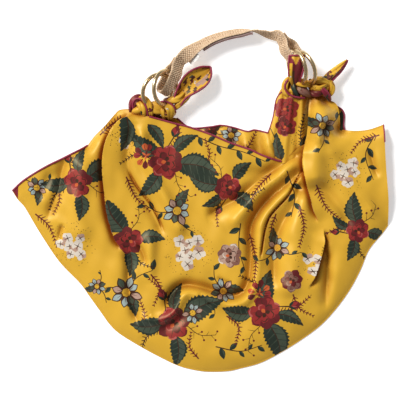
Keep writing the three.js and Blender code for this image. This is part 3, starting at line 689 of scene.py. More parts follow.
def clothSheet(target, outline, lay, marks, cell, rows=(), zones=(), coarse=0.0, innerRows=()):
    # a printed sheet: its plan is cut along the marks' edges, laid by lay(x, y) and given its thickness
    flat, faces, inkNames = cutPlan(outline, hexGrid(outline, cell, rows), marks, zones)
    loop = rimLoop(faces)
    normal = sheetNormals(lay, flat)
    top = lay(flat[:, 0], flat[:, 1]) + normal * drape["thick"] / 2
    below, belowFaces, belowInks, nearest = flat, faces, inkNames, loop
    if coarse:
        rim = flat[loop]
        below, belowFaces, belowInks = cutPlan(rim, hexGrid(rim, coarse, innerRows))
        nearest = [int(np.argmin(np.hypot(below[:, 0] - px, below[:, 1] - py))) for px, py in rim]
    belowNormal = sheetNormals(lay, below)
    inward = nearLine(np.vstack([flat[loop], flat[loop[:1]]]), below[:, 0], below[:, 1])[0]
    sink = drape["sink"] * smooth(inward / drape["sinkFrom"])[:, None] if coarse else 0.0
    bottom = lay(below[:, 0], below[:, 1]) - belowNormal * (drape["thick"] / 2 + sink)
    if coarse:  # the inner face follows the lowest of the cloth round each point
        for dx, dy in ((1, 0), (-1, 0), (0, 1), (0, -1)):
            beside = lay(below[:, 0] + dx * drape["look"], below[:, 1] + dy * drape["look"])[:, 2] - sink[:, 0]
            lower = np.minimum(bottom[:, 2], beside)
            bottom[:, 2] = np.where(inward > drape["sinkFrom"], lower, bottom[:, 2])
    n = len(flat)
    allFaces = faces + [tuple(n + i for i in reversed(face)) for face in belowFaces]
    for a, b, d, c in zip(loop, loop[1:] + loop[:1], nearest, nearest[1:] + nearest[:1]):
        if c != d:
            allFaces.append((b, a, n + d, n + c))
    allInks = inkNames + belowInks
    allInks += ["ground"] * (len(allFaces) - len(allInks))
    addPart(target, np.vstack([top, bottom]), allFaces, np.vstack([normal, -belowNormal]), np.vstack([flat, below]),
            allInks)
    print("sheet of", len(allFaces), "faces")


def ringNormals(rings):
    # outward directions of a skin over closed rings of points
    return unit(np.cross(np.roll(rings, -1, axis=1) - np.roll(rings, 1, axis=1), np.gradient(rings, axis=0)))


def facingOut(faces, flat, normals):
    a, b, c = flat[faces[0][0]], flat[faces[0][1]], flat[faces[0][2]]
    inwards = np.dot(np.cross(b - a, c - a), normals[faces[0][0]]) < 0
    return [tuple(reversed(face)) for face in faces] if inwards else faces


def addSkin(target, rings, ink="ground", slot=0):
    # a skin over rings of points, with its ends closed
    rings = np.array(rings)
    count, sides = rings.shape[:2]
    normal = ringNormals(rings)
    if np.sum((rings - rings.mean(axis=1)[:, None]) * normal) < 0:
        rings = rings[:, ::-1]
        normal = ringNormals(rings)
    faces = []
    for i in range(count - 1):
        for j in range(sides):
            k = (j + 1) % sides
            faces.append((i * sides + j, i * sides + k, (i + 1) * sides + k, (i + 1) * sides + j))
    faces += [tuple(range(sides))[::-1], tuple((count - 1) * sides + j for j in range(sides))]
    flat, normals = rings.reshape(-1, 3), normal.reshape(-1, 3)
    cloth = np.stack([np.repeat(np.arange(count) * 2.0, sides), np.tile(np.arange(sides) * 1.0, count)], axis=1)
    addPart(target, flat, facingOut(faces, flat, normals), normals, cloth, [ink] * len(faces), slot)


def tube(target, path, radius, ink="hem", sides=8, slot=materialOf["hem"]):
    line = np.array(path, float)
    along = unit(np.gradient(line, axis=0))
    side = unit(np.cross(along, (0.02, 0.03, 1.0)))
    up = np.cross(side, along)
    turn = np.linspace(0, 2 * math.pi, sides, endpoint=False)
    rings = [p + radius * (s * math.cos(a) + u * math.sin(a)) for p, s, u in zip(line, side, up) for a in turn]
    addSkin(target, np.array(rings).reshape(len(line), sides, 3), ink, slot)


# Hems: a rolled edge along a stretch, as edge, how it lies, and radius
hems = [
    (edges["leftWing"], layFront, 1.25), (edges["frontHem"], layFront, 1.25), (edges["rightSide"][:2], layFront, 0.9),
    (edges["backHem"][:8], layBack, 1.1), (edges["backLeft"], layBack, 1.1), (edges["backNeck"], layBack, 1.1),
    (edges["backHem"][7:], layNeck, 1.0),
]


def hemAlong(target, stretch, lay, radius):
    line = curveThrough(stretch, 2.4)
    path = lay(line[:, 0], line[:, 1])
    path[:, 2] = np.maximum(path[:, 2] + 0.3, radius)
    path[:, 2] += 0.12 * np.sin(np.arange(len(path)) * 2.1)  # a hand-rolled hem isn't quite even
    tube(target, path, radius)


# Knots: bands of gathered cloth that wrap round a middle, as middle, width, height, pleats, ink and path
knots = {"step": 1.9, "sides": 24, "ends": 0.5, "deep": 0.34, "bands": [
    # first left knot: a lobe at its left, a dark hollow and two turns of cloth with the hem between them
    ((-75, 116, 8), 9, 9, 6, "ground", [(-85, 112, 10), (-77, 119, 14), (-68, 119, 11)]),
    ((-77, 118, 10), 3.4, 3.8, 5, "hem", [
        (-89, 112, 9), (-89.5, 120, 14), (-87.5, 128, 17), (-81, 133.5, 17), (-74, 133, 15)]),
    ((-77, 118, 8), 3.6, 3, 5, "burgundy", [(-86, 116, 14), (-85, 124, 18), (-81, 128, 20), (-77, 126, 19)]),
    ((-75, 114, 6), 4.4, 3.8, 5, "ground", [(-83, 125, 17), (-78.5, 124.5, 21), (-74, 117.5, 22.5), (-72, 107, 15)]),
    ((-75, 114, 6), 4.2, 4, 5, "ground", [
        (-80, 132, 16), (-73.5, 131.5, 20.5), (-67.5, 125, 22), (-64.5, 116, 20.5), (-64, 106, 13)]),
    ((-60, 119, 8), 8.4, 7, 6, "ground", [(-69, 118, 14), (-58, 119, 16), (-46, 117, 15)]),
    # second left knot: a broad turn with its hem, and two strands that lead to the leaf-shaped end
    ((-44, 116, 8), 8.5, 8, 6, "ground", [(-50, 114, 12), (-42, 115, 14), (-33, 118, 12)]),
    ((-46, 112, 6), 6.4, 4, 5, "ground", [(-50, 124, 16), (-43.5, 123, 21), (-38, 117, 21.5), (-38.5, 106, 13)]),
    ((-48, 114, 7), 3, 3, 5, "ground", [(-47.5, 122, 17), (-48.5, 115, 20.5), (-46, 105, 13)]),
    ((-38, 120, 6), 4.8, 4.4, 5, "ground", [(-47, 128, 15), (-38, 128.5, 19), (-29, 131, 19.5), (-21, 139, 18)]),
    ((-38, 118, 4), 3.8, 3.8, 5, "ground", [(-35, 117, 15), (-29.5, 122, 18), (-22, 128.5, 17.5), (-14, 136, 16)]),
    # first right knot, at the mouth's corner: a lobe with the hem, a dark fold and a band over them
    ((122, 143, 8), 9.5, 9, 6, "ground", [(112, 138, 12), (122, 145, 15), (134, 143, 13)]),
    ((122, 143, 10), 4.8, 4, 5, "ground", [
        (116, 132, 15), (110.5, 140, 19), (110.5, 150, 21), (116, 157, 20), (122, 158, 18)]),
    ((122, 143, 6), 3.2, 3.2, 5, "deepGreen", [(120.5, 156, 20), (120, 148, 23), (123, 140, 23), (128, 133, 18)]),
    ((130, 146, 8), 5.4, 4.2, 5, "ground", [(121, 154, 20), (129, 152, 23.5), (137, 151, 22.5), (144, 149, 18)]),
    ((130, 142, 8), 4.4, 3.8, 5, "mauve", [(124, 145, 20), (132, 141, 22.5), (139, 138, 19), (143, 135, 14)]),
    # second right knot: a pleated band over a turn that shows the dark red hem
    ((154, 143, 8), 9.5, 9, 6, "ground", [(142, 143, 12), (154, 146, 15), (166, 141, 12)]),
    ((154, 141, 8), 5.6, 4.2, 8, "ground", [
        (142, 150, 16), (149, 154, 20.5), (158, 154.5, 20.5), (166, 151, 17), (170, 146, 13)]),
    ((154, 141, 6), 2.8, 2.8, 5, "ground", [
        (142, 156, 15), (147, 148.5, 22.5), (153, 145, 24), (160, 148, 22.5), (166, 151, 18)]),
    ((150, 138, 8), 4.2, 3.8, 5, "burgundy", [(143, 140, 17), (149, 137.5, 21), (155, 139.5, 21), (158, 144, 19)]),
    ((158, 138, 8), 3.6, 3, 5, "hem", [(154.5, 146.5, 22), (160.5, 140.5, 23), (166.5, 133, 17), (168, 129, 13)]),
    ((160, 142, 8), 4, 4, 5, "ground", [(163, 156, 16), (169.5, 149, 17.5), (170, 141, 16), (166, 134, 14)]),
], "hems": [
    [(-85.5, 115, 17), (-87.5, 123, 19.5), (-84.5, 129.5, 22.5), (-79, 131, 24.5), (-73.5, 127.5, 25.5),
     (-70.5, 121.5, 25.5), (-68.5, 115, 24), (-67.7, 106, 17)],
    [(-51, 127, 18.5), (-45, 127.5, 23), (-38.5, 124.5, 24.2), (-33.5, 119, 23), (-32, 113.5, 18.5)],
    [(113, 155, 25.5), (109.5, 148.5, 25.5), (110.5, 142, 25), (114.5, 137, 24), (120, 134, 23.5),
     (128, 132.4, 22.5), (135, 132, 19)],
    [(168, 134, 19.5), (164, 140, 24), (158.5, 144.5, 25)],
]}


def knotBand(target, middle, wide, tall, pleats, ink, path):
    line = curveThrough(path, knots["step"])
    along = unit(np.gradient(line, axis=0))
    out = line - np.array(middle, float)
    out = unit(out - along * np.sum(out * along, axis=1)[:, None])
    across = np.cross(out, along)
    t = np.linspace(0, 1, len(line))
    deep, ends, sides = knots["deep"], knots["ends"], knots["sides"]
    swell = ends + (1 - ends) * np.sin(math.pi * np.clip(t, 0.02, 0.98)) ** 0.5
    rings = np.zeros((len(line), sides, 3))
    for j, a in enumerate(np.linspace(0, 2 * math.pi, sides, endpoint=False)):
        crease = 1 + deep * np.abs(np.cos(pleats * a / 2 + 1.2 * np.sin(3 * t + a))) - deep / 2
        rings[:, j] = line + (across * math.cos(a) * wide + out * math.sin(a) * tall) * (swell * crease)[:, None]
    addSkin(target, rings, ink, materialOf["gathered"])


def stripInk(u, v):
    # the upright tail is rolled so that its dark red border lies across it
    if 0.7 < v < 0.94 and abs(u) < 0.6 * (v - 0.68) / 0.24 or v < 0.72 and u > 0.42:
        return "ground"
    if v < 0.66 and 0.05 < u <= 0.42:
        return "darkInk" if v < 0.5 else "burgundy"
    return "burgundy" if -0.5 < u < 0.5 and v < 0.7 else "hem"


def hornInk(u, v):
    return "hem" if u < -0.25 - 0.5 * (0.9 - v) or v > 0.93 else "ground"


def leafInk(u, v):
    # streaks of the print, drawn together across the leaf-shaped tail
    vein = math.sin(13 * v + 5 * u) + 0.8 * math.sin(31 * v - 9 * u) + 0.5 * math.sin(19 * u + 2)
    if ((u + 0.52) / 0.26) ** 2 + ((v - 0.6 + 0.1 * u) / 0.16) ** 2 < 1:
        return "paleMauve"
    if 0.2 < v < 0.6 and vein > 0.75:
        return "darkInk" if vein > 1.1 else "burgundy"
    if v >= 0.6 and vein > 1.35:
        return "darkInk"
    return "greyGreen" if 0.3 < u < 0.6 and 0.4 < v < 0.56 and vein < -0.6 else "ground"


# The knots' loose ends, as x, y, z, half width, and how far their rims stand above their middle line
tails = {
    "cell": 1.3, "across": 17,
    "leaf": [
        (-30, 124, 17, 5, 3), (-24, 137, 18, 8, 5), (-12, 150, 16.5, 13, 7), (0, 159, 14.5, 13, 7),
        (8, 166.5, 13, 8.5, 5), (13, 172, 12, 1.2, 1)],
    "upright": [
        (124, 147, 23, 5.5, 2), (122.5, 158, 31, 8, 0), (123.5, 171, 37.5, 9.6, -2.5), (124, 180, 39, 9.8, -3),
        (124, 186, 38.5, 9.4, -3)],
    "horn": [
        (160, 150, 19, 6.5, -3), (168, 160, 19, 6.2, -4), (179, 170, 16.5, 5.2, -3), (187.5, 178.5, 14, 2.6, -1.5),
        (190.5, 182, 12.5, 0.8, -0.5)],
}


def tailSheet(target, stations, inkAt):
    table = curveThrough(stations, tails["cell"])
    centre, wide, cup = table[:, :3], table[:, 3], table[:, 4]
    side = np.column_stack([leftOf(centre[:, :2]), np.zeros(len(table))])
    across = np.linspace(-1, 1, tails["across"])
    grid = np.zeros((len(table), len(across), 3))
    for j, s in enumerate(across):
        grid[:, j] = centre + side * (wide * s)[:, None]
        grid[:, j, 2] += cup * s * s + 0.7 * np.cos(6 * s + np.arange(len(table)) * 0.12)
    half = drape["thick"] / 2
    up = unit(np.cross(np.gradient(grid, axis=0), np.gradient(grid, axis=1)))
    if up[..., 2].mean() < 0:
        up = -up
    rings = np.concatenate([grid + up * half, (grid - up * half)[:, ::-1]], axis=1)
    rows, count = grid.shape[:2]
    sides = 2 * count
    faces, inkNames = [], []
    for i in range(rows - 1):
        for j in range(sides):
            k = (j + 1) % sides
            faces.append((i * sides + j, (i + 1) * sides + j, (i + 1) * sides + k, i * sides + k))
            inkNames.append(inkAt(across[min(j, sides - 1 - j)], i / rows))
    far = (rows - 1) * sides
    for j in range(count - 1):
        faces.append((j, j + 1, sides - 2 - j, sides - 1 - j))
        faces.append((far + j, far + sides - 1 - j, far + sides - 2 - j, far + j + 1))
        inkNames += ["ground", "ground"]
    flat = rings.reshape(-1, 3)
    normals = np.concatenate([up, -up[:, ::-1]], axis=1).reshape(-1, 3)
    addPart(target, flat, facingOut(faces, flat, normals), normals, flat[:, :2], inkNames, materialOf["gathered"])
    return grid


def addTails(target):
    leaf = tailSheet(target, tails["leaf"], leafInk)
    tube(target, np.vstack([leaf[:, 0], leaf[::-1, -1]]), 1.35, sides=7)
    upright = tailSheet(target, tails["upright"], stripInk)
    lift = np.array((0, 0, 0.5))
    n = len(upright)
    rim = [*(upright[n // 3:, 0] + lift), *(upright[-1, 1:-1] + lift), *(upright[::-1, -1][:2 * n // 3] + lift)]
    tube(target, rim, 1.2, sides=7)
    horn = tailSheet(target, tails["horn"], hornInk)
    tube(target, horn[:, 0] + lift, 1.2, sides=7)


def frontZones():
    # the front's three fields: a mark ends where the lap beside its field turns under
    leftLap = curveThrough(folds[0]["path"], 6)
    rightLap = curveThrough(folds[1]["path"] + folds[2]["path"][1:], 6)
    reach = 0.6 * drape["lapRoll"]
    left = [(x - reach, y) for x, y in leftLap] + [(-101, -169), (-104, -240)]
    right = [(x + (-reach if y > -33 else reach), y) for x, y in rightLap] + [(150, -240)]
    return {
        "left": left + [(-260, -240), (-260, 140), (-92, 140)],
        "main": [(-92, 140)] + left + right[::-1] + [(134, 140)],
        "right": [(134, 140)] + right + [(260, -240), (260, 140)],
    }


def makePiece(target, name, layerName, materials, node, printed=False):
    mesh = bpy.data.meshes.new("scarf" if printed else name)
    mesh.from_pydata((np.vstack(target["points"]) * mm).tolist(), [], target["faces"])
    mesh.polygons.foreach_set("use_smooth", [True] * len(mesh.polygons))
    mesh.polygons.foreach_set("material_index", target["slots"])
    corners, sizes = np.zeros(len(mesh.loops), int), np.zeros(len(mesh.polygons), int)
    mesh.loops.foreach_get("vertex_index", corners)
    mesh.polygons.foreach_get("loop_total", sizes)
    if printed:
        colours = np.array([inks[ink] for ink in target["inks"]])
        attribute = mesh.attributes.new("ink", "FLOAT_COLOR", "CORNER")
        attribute.data.foreach_set("color", np.repeat(colours, sizes, axis=0).ravel())
    layer = mesh.uv_layers.new(name=layerName)
    layer.data.foreach_set("uv", (np.vstack(target["cloth"])[corners] * mm).ravel())
    if printed:
        mesh.normals_split_custom_set_from_vertices(np.vstack(target["normals"]).tolist())
    piece = bpy.data.objects.new(name, mesh)
    bpy.context.collection.objects.link(piece)
    for material in materials:
        mesh.materials.append(material)
    handOver(piece, node)
    print(name, "of", sizes.sum() - 2 * len(sizes), "triangles")
    return piece


def handOver(piece, node):
    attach(piece, "root")
    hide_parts(node)


# Materials
def setInputs(tree, node, **values):
    for key, value in values.items():
        key = key.replace("_", " ") if not hasattr(node, key) else key
        if isinstance(value, bpy.types.NodeSocket):
            tree.links.new(value, node.inputs[key])
        elif hasattr(node, key):
            setattr(node, key, value)
        else:
            node.inputs[key].default_value = value


def addNode(tree, kind, **values):
    node = tree.nodes.new("ShaderNode" + kind)
    setInputs(tree, node, **values)
    return node


def newMaterial(name):
    material = bpy.data.materials.new(name)
    material.use_nodes = True
    return material, material.node_tree, material.node_tree.nodes["Principled BSDF"]


def objectPlace(tree):
    return addNode(tree, "TexCoord").outputs["Object"]


def noise(tree, place, scale, detail, roughness=0.5):
    return addNode(tree, "TexNoise", Vector=place, Scale=scale, Detail=detail, Roughness=roughness).outputs["Fac"]


def mapRange(tree, source, low, high, toLow=0.0, toHigh=1.0):
    return addNode(tree, "MapRange", Value=source, From_Min=low, From_Max=high, To_Min=toLow, To_Max=toHigh).outputs[0]


def tintMix(tree, base, other, factor, blend="MIX"):
    return addNode(tree, "Mix", data_type="RGBA", blend_type=blend, A=base, B=other, Factor=factor).outputs["Result"]


def paintedHollowShade(tree, colour, reach, deepest, clear, shadeTint):
    # painted shade: the colour is darkened and tinted where ambient occlusion finds the surface hemmed in
    shade = addNode(tree, "AmbientOcclusion", samples=8, Distance=reach).outputs["AO"]
    light = mapRange(tree, shade, deepest, clear)
    return tintMix(tree, tintMix(tree, colour, shadeTint, 1.0, "MULTIPLY"), colour, light)


def bumpOf(tree, height, strength, distance):
    return addNode(tree, "Bump", Strength=strength, Distance=distance, Height=height).outputs["Normal"]


satinLook = {
    "roughness": 0.42, "sheen": 0.08, "weave": 2600, "bump": 0.05,
    # the next three give the painted shade in the folds: how far round to look, where the shade is fullest, and its
    # tint
    "hollow": 0.016, "deepest": 0.38, "paintedShadeTint": (0.4, 0.16, 0.06, 1), "shine": (1.0, 0.8, 0.45, 1),
    "patches": [  # ink, scale, threshold and offset of the print's colours where it is drawn together
        ("deepGreen", 68.0, 0.63, 3.0), ("burgundy", 74.0, 0.65, 11.0), ("cream", 82.0, 0.68, 23.0),
        ("darkInk", 150.0, 0.66, 31.0), ("crimson", 64.0, 0.69, 47.0)],
}


def satinFinish(tree, shader, colour, place):
    threads = addNode(
        tree, "TexWave", wave_type="BANDS", bands_direction="DIAGONAL", Scale=satinLook["weave"] / 6, Vector=place)
    # the base colour carries painted shade, darker and more orange in the folds' hollows
    setInputs(
        tree, shader, Normal=bumpOf(tree, threads.outputs["Fac"], satinLook["bump"], 0.0002),
        Base_Color=paintedHollowShade(tree, colour, satinLook["hollow"], satinLook["deepest"], 0.98, satinLook["paintedShadeTint"]),
        Roughness=satinLook["roughness"], Specular_Tint=satinLook["shine"], Sheen_Weight=satinLook["sheen"],
        Sheen_Roughness=0.4)


def printedSatin():
    material, tree, shader = newMaterial("printed satin")
    ink = addNode(tree, "Attribute", attribute_name="ink")
    place = addNode(tree, "UVMap", uv_map="cloth").outputs["UV"]
    washed = mapRange(tree, noise(tree, place, 330.0, 4.0, 0.65), 0.4, 0.66, 0.0, 0.5)
    masked = addNode(tree, "Math", operation="MULTIPLY")
    tree.links.new(washed, masked.inputs[0])
    tree.links.new(ink.outputs["Alpha"], masked.inputs[1])
    lighter = tintMix(tree, ink.outputs["Color"], (0.42, 0.32, 0.3, 1), masked.outputs[0], "SOFT_LIGHT")
    tone = mapRange(tree, noise(tree, place, 26.0, 2.0), 0.3, 0.7, 0.94, 1.05)
    satinFinish(tree, shader, tintMix(tree, lighter, tone, 1.0, "MULTIPLY"), place)
    return material


def gatheredSatin():
    # the knots and tails: the print is so drawn together that only its colours show
    material, tree, shader = newMaterial("gathered satin")
    place = objectPlace(tree)
    colour = addNode(tree, "Attribute", attribute_name="ink").outputs["Color"]
    for name, scale, edge, offset in satinLook["patches"]:
        moved = addNode(tree, "Mapping", Location=(offset, offset * 0.7, 0), Vector=place).outputs["Vector"]
        mask = mapRange(tree, noise(tree, moved, scale, 3.0, 0.6), edge, edge + 0.015)
        colour = tintMix(tree, colour, inks[name][:3] + (1,), mask)
    satinFinish(tree, shader, colour, place)
    return material


def hemThread():
    material, tree, shader = newMaterial("hem thread")
    stitch = noise(tree, objectPlace(tree), 900.0, 2.0)
    colour = tintMix(tree, inks["hem"][:3] + (1,), (0.36, 0.032, 0.078, 1), mapRange(tree, stitch, 0.35, 0.65))
    setInputs(tree, shader, Base_Color=colour, Normal=bumpOf(tree, stitch, 0.4, 0.0003), Roughness=0.6)
    return material


def makeScarf():
    scarf = emptyMesh()
    front = joinStretches(
        ["leftShoulder", "frontHem", "gather", "frontNeck", "rightWing", "rightSide", "fold", "leftWing"], 2.6)
    main = folds[:3] + folds[5:7] + folds[10:11]  # the laps and the deepest folds, which the inner face follows
    clothSheet(scarf, front, layFront, printOf("front"), 3.7, np.vstack([foldRows(folds), rimRows()]), frontZones(),
               8.0, foldRows(main, 5))
    back = joinStretches(["backLeft", "backHem", "backNeck", "backSide", "fold"], 3.2)
    clothSheet(scarf, back, layBack, printOf("back"), 6.0)
    clothSheet(scarf, curveThrough(edges["neck"], 2.4)[:-1], layNeck, printOf("neck"), 2.4, coarse=4.0)
    for hem in hems:
        hemAlong(scarf, *hem)
    edge = curveThrough(edges["fold"], 3)
    tube(scarf, np.column_stack([edge * 0.9985, np.full(len(edge), 0.8)]), 0.72, "ground", 6, materialOf["print"])
    for band in knots["bands"]:
        knotBand(scarf, *band)
    for path in knots["hems"]:
        tube(scarf, curveThrough(path, 1.6), 1.25)
    addTails(scarf)
    materials = (printedSatin(), hemThread(), gatheredSatin())
    piece = makePiece(scarf, "scarf_cloth", "cloth", materials, "scarf", printed=True)


makeScarf()


# Rings: round brass wire with the seam where its ends were joined
rings = {
    "radius": 22.3, "wire": 2.7, "around": 120, "across": 20, "seamAt": 150, "seamHalf": 1.6, "seam": 0.88,
    "places": {
        "ring_left_outer": {"at": (-55.5, 141.2, 19.1), "lean": 38.3, "toward": -27.2},
        "ring_left_inner": {"at": (-45.3, 145.1, 25.9), "lean": 50.3, "toward": -5.8},
        "ring_right_outer": {"at": (134.3, 170.5, 22.3), "lean": 58.8, "toward": 205},
        "ring_right_inner": {"at": (125.2, 171.5, 23.2), "lean": 64.9, "toward": 195.5},
    },
}


def brass():
    material, tree, shader = newMaterial("antique brass")
    wear = noise(tree, objectPlace(tree), 160.0, 5.0)
    colour = tintMix(tree, (0.72, 0.55, 0.31, 1), (0.42, 0.29, 0.14, 1), mapRange(tree, wear, 0.4, 0.7, 0.0, 0.7))
    setInputs(tree, shader, Base_Color=colour, Roughness=mapRange(tree, wear, 0.3, 0.7, 0.2, 0.38), Metallic=1.0)
    return material


def applyPlace(piece):
    bpy.ops.object.select_all(action="DESELECT")
    piece.select_set(True)
    bpy.context.view_layer.objects.active = piece
    bpy.ops.object.transform_apply(location=True, rotation=True, scale=True)


def makeRings():
    material = brass()
    for name, place in rings["places"].items():
        bpy.ops.object.select_all(action="DESELECT")
        bpy.ops.mesh.primitive_torus_add(
            major_radius=rings["radius"] * mm, minor_radius=rings["wire"] * mm,
            major_segments=rings["around"], minor_segments=rings["across"])
        ring = bpy.context.object
        ring.name = name + "_brass"
        for vertex in ring.data.vertices:  # the seam is a fine groove round the wire
            x, y = vertex.co.x, vertex.co.y
            if abs(math.degrees(math.atan2(y, x)) - rings["seamAt"]) < rings["seamHalf"]:
                middle = Vector((x, y, 0)).normalized() * rings["radius"] * mm
                vertex.co = middle + (vertex.co - middle) * rings["seam"]
        bpy.ops.object.shade_smooth()
        ring.rotation_euler = (0, math.radians(place["lean"]), math.radians(place["toward"]))
        ring.location = [v * mm for v in place["at"]]
        applyPlace(ring)
        ring.data.materials.append(material)
        handOver(ring, name)
    print("rings made")


makeRings()


# Strap: a flat braid whose ends turn back through the rings, with a grip and a tape sewn under it
strap = {
    "width": 20, "thick": 3, "gripWidth": 19, "gripThick": 3.4, "labelWidth": 6.5, "labelThick": 0.8, "labelTuck": 2,
    "sewn": 6, "closing": 14, "loopStep": 5, "touch": 0.4, "strands": 11, "pitch": 38, "strandTall": 0.8,
    "left": {"bend": (-45.5, 145.8, 16), "heading": 62, "lean": -34, "outward": 1, "depth": 17, "reach": 40},
    "right": {"bend": (123.5, 184, 19.4), "heading": 125.8, "lean": -45.9, "outward": -1, "depth": 19, "reach": 35},
    "arch": [  # a point of the middle line, and how far the face leans outwards
        ((-18, 188, 17.5), -8), ((-10, 194.5, 16.5), 28), ((0, 201, 15), 46), ((15, 209, 13.5), 55),
        ((33, 215, 12.5), 61), ((52, 218.5, 11.8), 66), ((69, 219.5, 11.8), 90), ((84, 215.5, 12.2), 114),
        ((94, 212.5, 13.5), 120)],
}


def loopStations(loop):
    heading, lean = math.radians(loop["heading"]), math.radians(loop["lean"])
    base = np.array(loop["bend"], float)
    away = np.array((math.cos(heading), math.sin(heading), 0))
    out = np.array((-math.sin(heading), math.cos(heading), 0)) * loop["outward"]
    face = np.array((0, 0, math.cos(lean))) + out * math.sin(lean)
    across = np.array((0, 0, -math.sin(lean))) + out * math.cos(lean)
    closed = (strap["thick"] + strap["touch"]) / 2
    depth, reach, step = loop["depth"], loop["reach"], strap["loopStep"]

    def spread(s):
        t = smooth((s - (reach - strap["sewn"] - strap["closing"])) / strap["closing"])
        return depth / 2 + (closed - depth / 2) * t

    stations = [(base + away * s - face * spread(s), across) for s in range(reach, -1, -step)]
    for angle in (-60, -30, 0, 30, 60):
        b = math.radians(angle)
        stations.append((base - away * depth / 2 * math.cos(b) + face * depth / 2 * math.sin(b), across))
    return stations + [(base + away * s + face * spread(s), across) for s in range(0, reach + 1, step)]


def strapStations():
    left, right = loopStations(strap["left"]), loopStations(strap["right"])[::-1]
    points = np.array([left[-1][0], *[at for at, lean in strap["arch"]], right[0][0]], float)
    archLeans = [lean for at, lean in strap["arch"]]
    leans = np.array([strap["left"]["lean"], *archLeans, 180 + strap["right"]["lean"]], float)
    steps = 3
    line = curveThrough(points, 1.0)
    nearest = [int(np.argmin(np.linalg.norm(line - p, axis=1))) for p in points]
    between = []
    for i in range(1, (len(points) - 1) * steps):
        k, f = divmod(i, steps)
        spot = int(round(nearest[k] + (nearest[k + 1] - nearest[k]) * f / steps))
        lean = math.radians(leans[k] + (leans[k + 1] - leans[k]) * f / steps)
        along = line[min(spot + 1, len(line) - 1)] - line[max(spot - 1, 0)]
        out = np.array((-along[1], along[0], 0)) / math.hypot(along[0], along[1])
        between.append((line[spot], np.array((0, 0, -math.sin(lean))) + out * math.cos(lean)))
    return left + between + [(at, -across) for at, across in right], len(left)


def strapLine(stations, step):
    # the strap's middle line with its side and face directions, finely spaced
    line = curveThrough(np.array([np.concatenate(s) for s in stations]), step)
    run = runAlong(line[:, :3])
    even = np.arange(0, run[-1], step)
    table = pointsAt(line, run, even)
    at, across = table[:, :3], table[:, 3:]
    along = unit(np.gradient(at, axis=0))
    side = unit(across - along * np.sum(across * along, axis=1)[:, None])
    return at, side, np.cross(along, side), even


def braidFibre():
    material, tree, shader = newMaterial("braid fibre")
    place = objectPlace(tree)
    fine = noise(tree, place, 1500.0, 4.0, 0.7)
    patch = noise(tree, place, 240.0, 3.0)
    colour = tintMix(tree, (0.66, 0.45, 0.27, 1), (0.92, 0.71, 0.48, 1), mapRange(tree, fine, 0.35, 0.65))
    colour = tintMix(tree, colour, (0.36, 0.17, 0.09, 1), mapRange(tree, patch, 0.56, 0.74, 0.0, 0.45))
    fleck = mapRange(tree, noise(tree, place, 520.0, 2.0, 0.7), 0.56, 0.66, 0.0, 0.6)
    colour = tintMix(tree, colour, (0.17, 0.085, 0.04, 1), fleck)
    # painted shade: the braid's colour is darkened where its strands hem each other in
    colour = paintedHollowShade(tree, colour, 0.0025, 0.35, 0.9, (0.45, 0.32, 0.23, 1))
    setInputs(tree, shader, Base_Color=colour, Normal=bumpOf(tree, fine, 0.6, 0.0004), Roughness=0.85)
    return material


def makeBraid(stations):
    at, side, face, run = strapLine(stations, 0.8)
    braid = emptyMesh()
    strands, tall = strap["strands"], strap["strandTall"]
    narrow = np.ones(len(run))
    for loop in (strap["left"], strap["right"]):  # the loops draw the braid in where they hold the rings
        narrow -= 0.24 * np.exp(-(np.linalg.norm(at - np.array(loop["bend"]), axis=1) / 16) ** 4)
    strandWide = 0.92 * strap["width"] / (strands - 1)
    half = strap["width"] / 2 - strandWide
    turn = np.linspace(0, 2 * math.pi, 6, endpoint=False)
    for k in range(strands):
        phase = run / strap["pitch"] + k / strands
        saw = np.abs(((phase * 2) % 2) - 1) * 2 - 1  # from -1 to 1 and back
        heading = np.where((phase * 2) % 2 < 1, -1.0, 1.0)
        across = np.sin(saw * math.pi / 2 * 0.92) / math.sin(math.pi / 2 * 0.92)
        weave = heading * np.cos(math.pi * (saw + 1) / 2 * strands) * 0.75  # over and under each strand it meets
        weave *= np.clip((1 - np.abs(saw)) * 6, 0, 1)
        centre = at + side * (across * half * narrow)[:, None] + face * weave[:, None]
        flat = unit(np.cross(face, unit(np.gradient(centre, axis=0))))
        addSkin(braid, np.stack([
            centre + flat * strandWide * math.cos(a) * 0.72 + face * tall * math.sin(a) for a in turn], axis=1))
    makePiece(braid, "strap_braid", "along", [braidFibre()], "handle_braid")


def bandSkin(stations, width, thick, shift, lift, corner):
    # a flat band with rounded corners that follows the strap
    at, side, face = strapLine(stations, 1.5)[:3]
    profile = []
    for sx, sz in ((1, 1), (-1, 1), (-1, -1), (1, -1)):
        for q in (0.0, 0.5, 1.0):
            near = [1 - math.sin(math.pi / 2 * q), 1 - math.cos(math.pi / 2 * q)][::1 if sx * sz > 0 else -1]
            profile.append((sx * (width / 2 - corner * near[0]), sz * (thick / 2 - corner * near[1])))
    band = emptyMesh()
    addSkin(band, np.stack([at + side * (shift + u) + face * (lift + v) for u, v in profile], axis=1))
    return band


def gripLeather():
    material, tree, shader = newMaterial("grip leather")
    place = objectPlace(tree)
    grain = addNode(tree, "TexVoronoi", Vector=place, Scale=900.0).outputs["Distance"]
    worn = mapRange(tree, noise(tree, place, 90.0, 4.0), 0.4, 0.65)
    colour = tintMix(tree, (0.34, 0.2, 0.18, 1), (0.44, 0.29, 0.26, 1), worn)
    setInputs(tree, shader, Base_Color=colour, Normal=bumpOf(tree, grain, 0.3, 0.0003), Roughness=0.5)
    return material


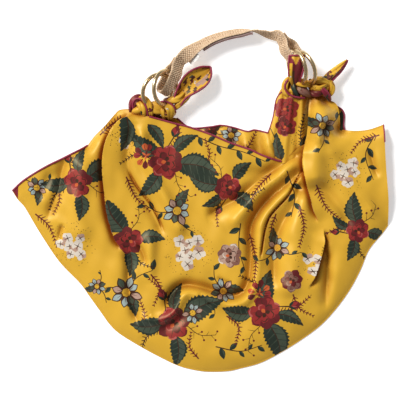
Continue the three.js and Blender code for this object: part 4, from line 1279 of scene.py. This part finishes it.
def labelTape():
    material, tree, shader = newMaterial("label tape")
    weave = addNode(
        tree, "TexChecker", Scale=1400.0, Color1=(0.86, 0.84, 0.8, 1), Color2=(0.74, 0.72, 0.68, 1),
        Vector=objectPlace(tree))
    setInputs(tree, shader, Base_Color=weave.outputs["Color"], Roughness=0.8)
    return material


def makeStrap():
    stations, first = strapStations()
    makeBraid(stations)
    under = -(strap["thick"] / 2 + strap["touch"])
    grip = bandSkin(stations[first + 8:first + 21], strap["gripWidth"], strap["gripThick"], 0,
                    under - strap["gripThick"] / 2, 1.2)
    makePiece(grip, "strap_grip", "along", [gripLeather()], "handle_grip")
    tape = bandSkin(stations[first + 1:first + 7], strap["labelWidth"], strap["labelThick"],
                    -(strap["width"] / 2 - strap["labelTuck"] + strap["labelWidth"] / 2),
                    under - strap["labelThick"] / 2, 0.3)
    makePiece(tape, "blank_tape", "along", [labelTape()], "label")
    print("strap made")


makeStrap()


# Floor and light
studio = {"floor": 8.0, "world": 0.27, "sun": 3.35, "spread": 20, "glow": 0.42, "from": (-0.66, 0.56, 0.86)}


def makeFloor():
    bpy.ops.object.select_all(action="DESELECT")
    bpy.ops.mesh.primitive_plane_add(size=studio["floor"], location=(0, 0, -0.0003))
    floor = bpy.context.object
    floor.name = "floor"
    applyPlace(floor)
    material, tree, shader = newMaterial("white paper")
    grain = addNode(tree, "TexNoise", Vector=objectPlace(tree), Scale=40.0).outputs["Fac"]
    setInputs(
        tree, shader, Base_Color=tintMix(tree, (0.93, 0.93, 0.93, 1), (0.95, 0.95, 0.95, 1), grain), Roughness=0.9,
        Specular_IOR_Level=0.1, Emission_Color=(1, 1, 1, 1), Emission_Strength=studio["glow"])
    floor.data.materials.append(material)


def makeLight():
    data = bpy.data.lights.new("key", "SUN")
    data.energy, data.angle = studio["sun"], math.radians(studio["spread"])
    light = bpy.data.objects.new("key", data)
    light.rotation_euler = (-Vector(studio["from"])).to_track_quat("-Z", "Y").to_euler()
    bpy.context.collection.objects.link(light)
    world = bpy.data.worlds.new("studio")
    world.use_nodes = True
    setInputs(world.node_tree, world.node_tree.nodes["Background"], Color=(1, 1, 1, 1), Strength=studio["world"])
    bpy.context.scene.world = world
    bpy.context.scene.view_settings.view_transform = "Standard"
    print("studio lit")


makeFloor()
makeLight()
